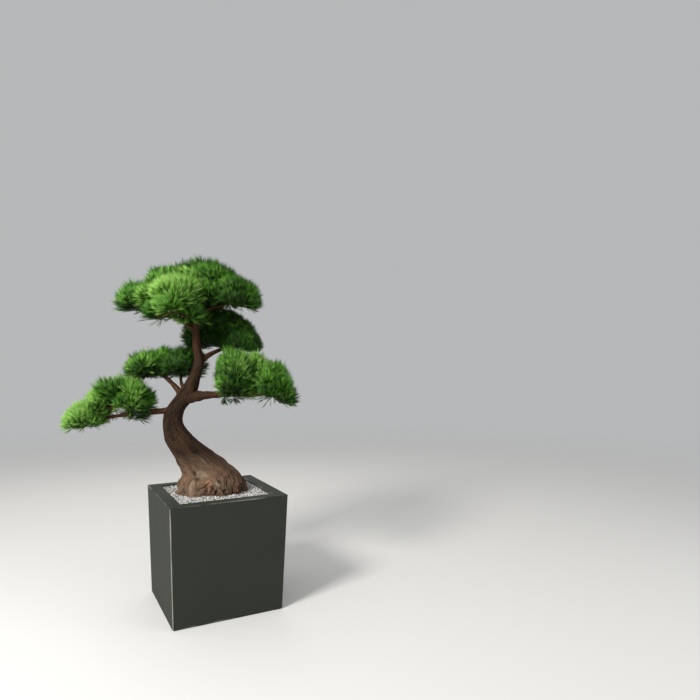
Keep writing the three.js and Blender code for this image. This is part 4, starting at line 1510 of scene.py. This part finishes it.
# %% Run a tree on a mesh
def grow(tree, mesh, **inputs):
    host = add_object("growing", mesh)
    modifier = host.modifiers.new("grow", "NODES")
    modifier.node_group = tree
    names = {item.name: item.identifier for item in tree.interface.items_tree if item.in_out == "INPUT"}
    for label, value in inputs.items():
        modifier[names[label.replace("_", " ")]] = value
    graph = bpy.context.evaluated_depsgraph_get()
    grown = bpy.data.meshes.new_from_object(host.evaluated_get(graph), depsgraph=graph)
    bpy.data.objects.remove(host)
    return grown


def line_mesh(lines, **values):
    """Edges as a mesh: each line has two ends, and each value is a list with one entry for each end"""
    mesh = bpy.data.meshes.new("lines")
    ends = [tuple(np.asarray(p) * MM) for line in lines for p in line]
    mesh.from_pydata(ends, [(2 * i, 2 * i + 1) for i in range(len(lines))], [])
    for label, entries in values.items():
        store(mesh, label, entries)
    return mesh


# %% [markdown]
# Needles grow in pairs out of one sheath, and that pair is the shape that repeats. Each needle is slim
# and three-sided, thickest above its middle, and runs to a point at both ends. The pair is one unit tall,
# so the tree only has to stretch it. Six faces for each needle are enough, because there are tens of
# thousands.

# %% One pair of needles, and the bark that needles stop at
NEEDLE_RADIUS = 1.5
NEEDLE_PART = 4.2
NEEDLE_WAIST = 0.7


def needle_pair():
    """Two needles that part a little, one metre tall and in their final thickness"""
    turns = [k * 2 * math.pi / 3 for k in range(3)]
    points, faces = [], []
    for side in (-1, 1):
        foot = len(points)
        tip = foot + 4
        middle = side * NEEDLE_PART * NEEDLE_WAIST
        ring = [(middle + NEEDLE_RADIUS * math.cos(a), NEEDLE_RADIUS * math.sin(a)) for a in turns]
        points.append((0, 0, 0))
        points += [(x, y, 1000 * NEEDLE_WAIST) for x, y in ring]
        points.append((side * NEEDLE_PART, 0, 1000))
        for k in range(3):
            here, there = foot + 1 + k, foot + 1 + (k + 1) % 3
            faces += [[foot, there, here], [here, there, tip]]
    return make_mesh("needle_pair", np.array(points) * MM, faces)


def joined(meshes):
    """One mesh from several, for rays to hit"""
    points, faces = [], []
    for mesh in meshes:
        first = len(points)
        points += [v.co[:] for v in mesh.vertices]
        faces += [[first + v for v in face.vertices] for face in mesh.polygons]
    return make_mesh("limbs", points, faces)


needle_model = add_object("needle_model", needle_pair())
limb_model = add_object("limb_model", joined(limbs))
print("limbs for rays", len(limb_model.data.polygons), "faces")

# %% [markdown]
# ## The needles' finish
#
# A needle is waxy: dark underneath, with a narrow bright highlight. Each tint is one plain colour, from
# the deep green of the shade to the yellow-green of sunlit tips, with only the gloss varying a little.

# %% The needles' tints
NEEDLE_TINTS = [
    paint(0.014, 0.044, 0.004),
    paint(0.030, 0.108, 0.007),
    paint(0.062, 0.200, 0.013),
    paint(0.135, 0.345, 0.034),
    paint(0.285, 0.505, 0.112),
]


def needle_finish(number, colour):
    tree, shader, made = new_material(f"needle_tint_{number}", Base_Color=colour, Specular_IOR_Level=0.22)
    gloss = group(tree, BLOTCHES, Place=own_place(tree), Broad=9.0, Fine=50.0, Contrast=2.0)
    feed(tree, shader.inputs["Roughness"], blend_numbers(tree, gloss, 0.36, 0.52))
    return made


needle_finishes = [needle_finish(k, colour) for k, colour in enumerate(NEEDLE_TINTS)]
print("tints", len(needle_finishes))

# %% [markdown]
# Twigs are tubes round their lines. A second small tree gives each line a round section, thinner towards
# its end, and closes both ends.

# %% The twig tree
def twig_tree():
    tree = bpy.data.node_groups.new("Tubes on lines", "GeometryNodeTree")
    sockets(tree, "INPUT", Lines="Geometry", Sides="Int", Bark="Material")
    sockets(tree, "OUTPUT", Tubes="Geometry")
    given = add_node(tree, "NodeGroupInput").outputs
    lines = add_node(tree, "GeometryNodeMeshToCurve", {"Mesh": given["Lines"]}).outputs[0]
    ring = add_node(tree, "GeometryNodeCurvePrimitiveCircle", {"Resolution": given["Sides"], "Radius": 1.0})
    thick = stored(tree, "thick")
    sweep = {"Curve": lines, "Profile Curve": ring.outputs[0], "Scale": thick, "Fill Caps": True}
    tubes = add_node(tree, "GeometryNodeCurveToMesh", sweep).outputs[0]
    look = {"Geometry": tubes, "Material": given["Bark"]}
    tubes = add_node(tree, "GeometryNodeSetMaterial", look).outputs[0]
    whole = add_node(tree, "GeometryNodeRealizeInstances", {0: tubes}).outputs[0]
    add_node(tree, "NodeGroupOutput", {"Tubes": whole})
    return tree


TWIGS = twig_tree()
print("twig tree", len(TWIGS.nodes), "nodes")

# %% [markdown]
# Now both trees run once for each pad. Needles and twigs stay two pieces, because each kind has a finish
# of its own, and a pad's needles stay under two hundred thousand triangles.

# %% Grow every pad
PAIRS_A_SHOOT = 30
FINE_NEEDLE = 104
SHORTEST = 0.45
FOOT_TILT = math.radians(58)
TIP_TILT = math.radians(6)
NEEDLE_LIFT = 0.36
SHOOT_BEHIND = 0.3
TWIG_SIDES = 6


def shoot_lines(shoots):
    """The shoots' lines, which start a little behind their feet, with the values that needles read"""
    values = {"axis": [], "side": [], "along": [], "vigour": [], "limit": [], "tint": []}
    lines = []
    for foot, axis, length, vigour, limit, tint in shoots:
        lines.append((foot - SHOOT_BEHIND * length * axis, foot + (1 - SHOOT_BEHIND) * length * axis))
        for end in (0, 1):
            for label, value in zip(values, (axis, square_to(axis)[0], end, vigour, limit, tint)):
                values[label].append(value)
    return line_mesh(lines, **values)


def needles_of(pad, seed):
    return grow(
        NEEDLES,
        shoot_lines(pad.shoots),
        Pairs=PAIRS_A_SHOOT,
        Length=FINE_NEEDLE * MM,
        Foot_tilt=FOOT_TILT,
        Tip_tilt=TIP_TILT,
        Lift=NEEDLE_LIFT,
        Middle=tuple(pad.ball_middle * MM),
        Reach=tuple(pad.ball_reach * MM),
        Rise=pad.rise,
        Floor_rise=pad.floor_rise,
        Underside=(pad.floor - SINK) / (1 + SINK),
        Shortest=SHORTEST,
        Seed=seed,
        Needle=needle_model,
        Limbs=limb_model,
        **{f"Tint_{k}": finish for k, finish in enumerate(needle_finishes)},
    )


def twigs_of(pad):
    widths = [width * MM for start, end, *both in pad.twigs for width in both]
    lines = line_mesh([twig[:2] for twig in pad.twigs], thick=widths)
    return grow(TWIGS, lines, Sides=TWIG_SIDES, Bark=bough_bark)


for number, (name, pad) in enumerate(PADS.items()):
    needles, tubes = needles_of(pad, 10 * number), twigs_of(pad)
    needles.transform(PLANTING)
    tubes.transform(PLANTING)
    add_piece(f"needles_{name}_fine", needles, [f"needles_{name}"])
    add_piece(f"twigs_{name}", tubes, [])
bpy.data.objects.remove(needle_model)
bpy.data.objects.remove(limb_model)

# %% [markdown]
# ## Gravel
#
# The dressing is pale crushed stone of about a centimetre. Scattering is what Geometry Nodes do best:
# points that keep their distance from each other on a sheet that has the trunk's foot cut out, a few
# broken stones to choose from, and a random turn and size for each. A broken stone is a ball of twenty
# faces with its corners pulled in and out, flatter than it is wide.

# %% A few broken stones
STONE_SIZE = 5.2
STONE_KINDS = 4
STONE_WIDE = (0.8, 1.15)
STONE_DEEP = (0.75, 1.0)
STONE_HIGH = (0.55, 0.8)
STONE_CORNERS = (0.78, 1.14)


def stone_mesh(seed):
    roll = dice(900 + seed)
    shape = bmesh.new()
    bmesh.ops.create_icosphere(shape, subdivisions=1, radius=STONE_SIZE * MM)
    flat = [mix(*span, roll()) for span in (STONE_WIDE, STONE_DEEP, STONE_HIGH)]
    for corner in shape.verts:
        corner.co = Vector(v * s * mix(*STONE_CORNERS, roll()) for v, s in zip(corner.co, flat))
    made = bpy.data.meshes.new(f"stone_{seed}")
    shape.to_mesh(made)
    shape.free()
    return made


stone_models = [add_object(f"stone_model_{k}", stone_mesh(k)) for k in range(STONE_KINDS)]
print("kinds of stones", len(stone_models))

# %% [markdown]
# The sheet is a grid of squares that rises and falls by about a millimetre. Squares under the trunk are
# left out, measured against the same relief as the trunk's lowest ring.

# %% The sheet that stones lie on
SHEET_STEP = 5
SHEET_RISE = 1.2
SHEET_WAVES = (31, 27)
FOOT_GAP = 3


def gravel_sheet():
    half = OPENING / 2 - STONE_SIZE
    spots = np.arange(-half, half + 0.1, SHEET_STEP)
    x, y = np.meshgrid(spots, spots, indexing="ij")
    c, s = math.cos(-TREE_TURN), math.sin(-TREE_TURN)
    middle_x, middle_y, wide, deep = TRUNK_SLICES[0][1:]
    across, back = c * x - s * y - middle_x, s * x + c * y - middle_y
    share = trunk_relief(np.arctan2(back / deep, across / wide), 0)[0]
    apart = np.hypot(across / (wide * share + FOOT_GAP), back / (deep * share + FOOT_GAP))
    rise = SHEET_RISE * np.sin(x / SHEET_WAVES[0] + 1) * np.cos(y / SHEET_WAVES[1])
    points = np.stack([x, y, GRAVEL_LEVEL + rise], -1).reshape(-1, 3)
    n = len(spots)
    faces = []
    for i in range(n - 1):
        for j in range(n - 1):
            if apart[i, j] > 1 and apart[i + 1, j + 1] > 1:
                faces.append([i * n + j, (i + 1) * n + j, (i + 1) * n + j + 1, i * n + j + 1])
    return make_mesh("gravel_sheet", points * MM, faces)


# %% [markdown]
# The tree keeps the points apart by their least distance, lifts or sinks each a little, picks one of the
# stones for it, and turns that any way. Each stone also gets a number that decides which finish it takes.

# %% The scattering tree
STONE_DENSITY = 60000.0
STONE_SCALES = (0.7, 1.25)


def stone_tree():
    tree = bpy.data.node_groups.new("Stones on a sheet", "GeometryNodeTree")
    sockets(tree, "INPUT", Sheet="Geometry", Apart="Float", Heave="Float", Seed="Int")
    for k in range(STONE_KINDS):
        sockets(tree, "INPUT", **{f"Stone_{k}": "Object", f"Stone_finish_{k}": "Material"})
    sockets(tree, "OUTPUT", Stones="Geometry")
    given = add_node(tree, "NodeGroupInput").outputs
    seed = given["Seed"]
    spread = add_node(tree, "GeometryNodeDistributePointsOnFaces", {
        "Mesh": given["Sheet"], "Distance Min": given["Apart"], "Density Max": STONE_DENSITY,
        "Seed": seed}, distribute_method="POISSON")
    lift = times(tree, given["Heave"], chance(tree, seed, -1, 1, 1))
    heave = add_node(tree, "ShaderNodeCombineXYZ", {2: lift}).outputs[0]
    moved = {"Geometry": spread.outputs[0], "Offset": heave}
    spots = add_node(tree, "GeometryNodeSetPosition", moved).outputs[0]

    models = add_node(tree, "GeometryNodeJoinGeometry")
    for k in reversed(range(STONE_KINDS)):
        model = add_node(tree, "GeometryNodeObjectInfo", {"Object": given[f"Stone {k}"], "As Instance": True})
        tree.links.new(model.outputs["Geometry"], models.inputs[0])
    turns = {k: chance(tree, seed, 0, FULL_TURN, 2 + k) for k in range(3)}
    turns = add_node(tree, "ShaderNodeCombineXYZ", turns).outputs[0]
    turn = add_node(tree, "FunctionNodeEulerToRotation", {0: turns}).outputs[0]
    pick = add_node(tree, "FunctionNodeRandomValue", {4: 0, 5: STONE_KINDS - 1}, data_type="INT").outputs[2]
    laid = add_node(tree, "GeometryNodeInstanceOnPoints", {
        "Points": spots, "Instance": models.outputs[0], "Pick Instance": True, "Instance Index": pick,
        "Rotation": turn, "Scale": chance(tree, seed, *STONE_SCALES, 6)}).outputs[0]
    batch = {"Geometry": laid, "Name": "batch", "Value": chance(tree, seed, 0, STONE_KINDS, 7)}
    laid = add_node(
        tree, "GeometryNodeStoreNamedAttribute", batch, data_type="FLOAT", domain="INSTANCE").outputs[0]
    whole = add_node(tree, "GeometryNodeRealizeInstances", {0: laid}).outputs[0]
    finishes = [given[f"Stone finish {k}"] for k in range(STONE_KINDS)]
    whole = deal_out(tree, whole, stored(tree, "batch"), finishes, 0.5, 0.5)
    add_node(tree, "NodeGroupOutput", {"Stones": whole})
    return tree


STONES = stone_tree()
print("stone tree", len(STONES.nodes), "nodes")

# %% [markdown]
# The real dressing mixes light stones with a few warmer and darker ones. Each finish is one plain grey,
# rough, with dust in patches that also gives it a fine grain.

# %% Stone finishes and the gravel
STONE_COLOURS = [
    paint(0.67, 0.67, 0.66),
    paint(0.42, 0.42, 0.41),
    paint(0.50, 0.48, 0.45),
    paint(0.20, 0.20, 0.20),
]
STONES_APART = 6.2
STONE_HEAVE = 1.8
STONE_SEED = 4


def stone_finish(number, colour):
    tree, shader, made = new_material(f"crushed_stone_{number}", Base_Color=colour, Specular_IOR_Level=0.3)
    dust = group(tree, BLOTCHES, Place=own_place(tree), Broad=150.0, Fine=700.0, Contrast=2.5)
    feed(tree, shader.inputs["Roughness"], blend_numbers(tree, dust, 0.7, 0.95))
    bump(tree, shader, dust, 0.35, 0.0008)
    return made


stone_inputs = {"Apart": STONES_APART * MM, "Heave": STONE_HEAVE * MM, "Seed": STONE_SEED}
for k, (model, colour) in enumerate(zip(stone_models, STONE_COLOURS)):
    stone_inputs[f"Stone_{k}"] = model
    stone_inputs[f"Stone_finish_{k}"] = stone_finish(k, colour)
add_piece("gravel_stones", grow(STONES, gravel_sheet(), **stone_inputs), [])
for model in stone_models:
    bpy.data.objects.remove(model)

# %% [markdown]
# ## Floor, light and camera
#
# A pale studio floor that fades out into an equally pale surround leaves no horizon. The light is soft
# and comes from the upper left and the front, so the planter's left side is the brighter one. The camera
# stands at eye height, a little to the left of the planter's front.

# %% The floor
FLOOR_RADIUS = 9.0
FLOOR_SIDES = 96
FLOOR_FADE = (2.5, 8.5)


def studio_floor():
    turns = [k * 2 * math.pi / FLOOR_SIDES for k in range(FLOOR_SIDES)]
    points = [(0, 0, 0)] + [(FLOOR_RADIUS * math.cos(a), FLOOR_RADIUS * math.sin(a), 0) for a in turns]
    faces = [[0, 1 + k, 1 + (k + 1) % FLOOR_SIDES] for k in range(FLOOR_SIDES)]
    floor = add_object("floor", make_mesh("floor", points, faces, smooth=False))
    look = {"Base_Color": paint(0.80, 0.79, 0.77), "Roughness": 0.9, "Specular_IOR_Level": 0.1}
    tree, shader, made = new_material("studio_floor", **look)
    span = {0: vectors(tree, "LENGTH", own_place(tree)), 1: FLOOR_FADE[0], 2: FLOOR_FADE[1]}
    away = add_node(tree, "ShaderNodeMapRange", span, interpolation_type="SMOOTHSTEP").outputs[0]
    clear = add_node(tree, "ShaderNodeBsdfTransparent").outputs[0]
    both = add_node(tree, "ShaderNodeMixShader", {0: away, 1: shader.outputs[0], 2: clear}).outputs[0]
    tree.links.new(both, tree.nodes["Material Output"].inputs["Surface"])
    floor.data.materials.append(made)
    return floor


studio_floor()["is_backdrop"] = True
print("floor radius", FLOOR_RADIUS, "m")

# %% [markdown]
# Three soft lamps: a key from the upper left, a wide fill that keeps the shaded side readable, and a weak
# one from behind that draws the pads' edges. The surround adds an even pale light, more from the left.

# %% The lamps
CROWN = (-0.1, 0.0, 1.1)
# Each lamp's place, size, watts and colour
LAMPS = {
    "key": ((-3.3, -1.9, 3.6), 1.2, 230, (1.0, 0.98, 0.94)),
    "fill": ((2.6, -3.2, 2.2), 2.6, 26, (0.93, 0.96, 1.0)),
    "rim": ((0.8, 3.2, 3.0), 2.0, 16, (1.0, 0.99, 0.97)),
}

for name, (place, size, watts, colour) in LAMPS.items():
    light = bpy.data.lights.new(name, "AREA")
    light.size, light.energy, light.color = size, watts, colour
    lamp = add_object(name, light)
    lamp.location = place
    lamp.rotation_euler = (Vector(CROWN) - Vector(place)).to_track_quat("-Z", "Y").to_euler()
print("lamps", len(LAMPS))

# %% The surround
BRIGHT_SIDE = (-0.88, 0.47, 0)
SURROUND = 0.55
DARK_SHARE = 0.55
BRIGHT_SHARE = 1.5


def studio_world():
    """An even pale surround to look at, which lights the object more from its left than from its right"""
    made = bpy.data.worlds.new("studio")
    made.use_nodes = True
    tree = made.node_tree
    surround = tree.nodes["Background"]
    surround.inputs["Color"].default_value = paint(0.86, 0.87, 0.88)
    way = add_node(tree, "ShaderNodeTexCoord").outputs["Generated"]
    side = vectors(tree, "DOT_PRODUCT", way, BRIGHT_SIDE)
    span = {0: side, 1: -1.0, 2: 1.0, 3: DARK_SHARE * SURROUND, 4: BRIGHT_SHARE * SURROUND}
    glow = add_node(tree, "ShaderNodeMapRange", span).outputs[0]
    seen = add_node(tree, "ShaderNodeLightPath").outputs["Is Camera Ray"]
    strength = add_node(tree, "ShaderNodeMix", {0: seen, 2: glow, 3: SURROUND}, data_type="FLOAT").outputs[0]
    feed(tree, surround.inputs["Strength"], strength)
    return made


bpy.context.scene.world = studio_world()
bpy.context.scene.view_settings.view_transform = "Standard"
print("surround", bpy.context.scene.world.name)

# %% The camera
CAMERA_PLACE = (-0.818, -2.962, 1.210)
CAMERA_YAW = math.radians(28.17)
CAMERA_PITCH = math.radians(0.78)
SENSOR = 36
FOCAL_PIXELS = 595
PICTURE_PIXELS = 700

camera_data = bpy.data.cameras.new("camera")
camera_data.sensor_width = SENSOR
camera_data.lens = SENSOR * FOCAL_PIXELS / PICTURE_PIXELS
camera = add_object("camera", camera_data)
camera.location = CAMERA_PLACE
camera.rotation_euler = (math.pi / 2 + CAMERA_PITCH, 0, -CAMERA_YAW)
bpy.context.scene.camera = camera
print("lens", round(camera_data.lens, 2), "mm")

# %% [markdown]
# ## The dressed object's box
#
# The dressed object is meant to stay inside the imported one's box; its own box is printed here.

# %% The dressed box and the end
low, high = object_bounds()
print("dressed box", [round(v, 3) for v in (*low, *high)])
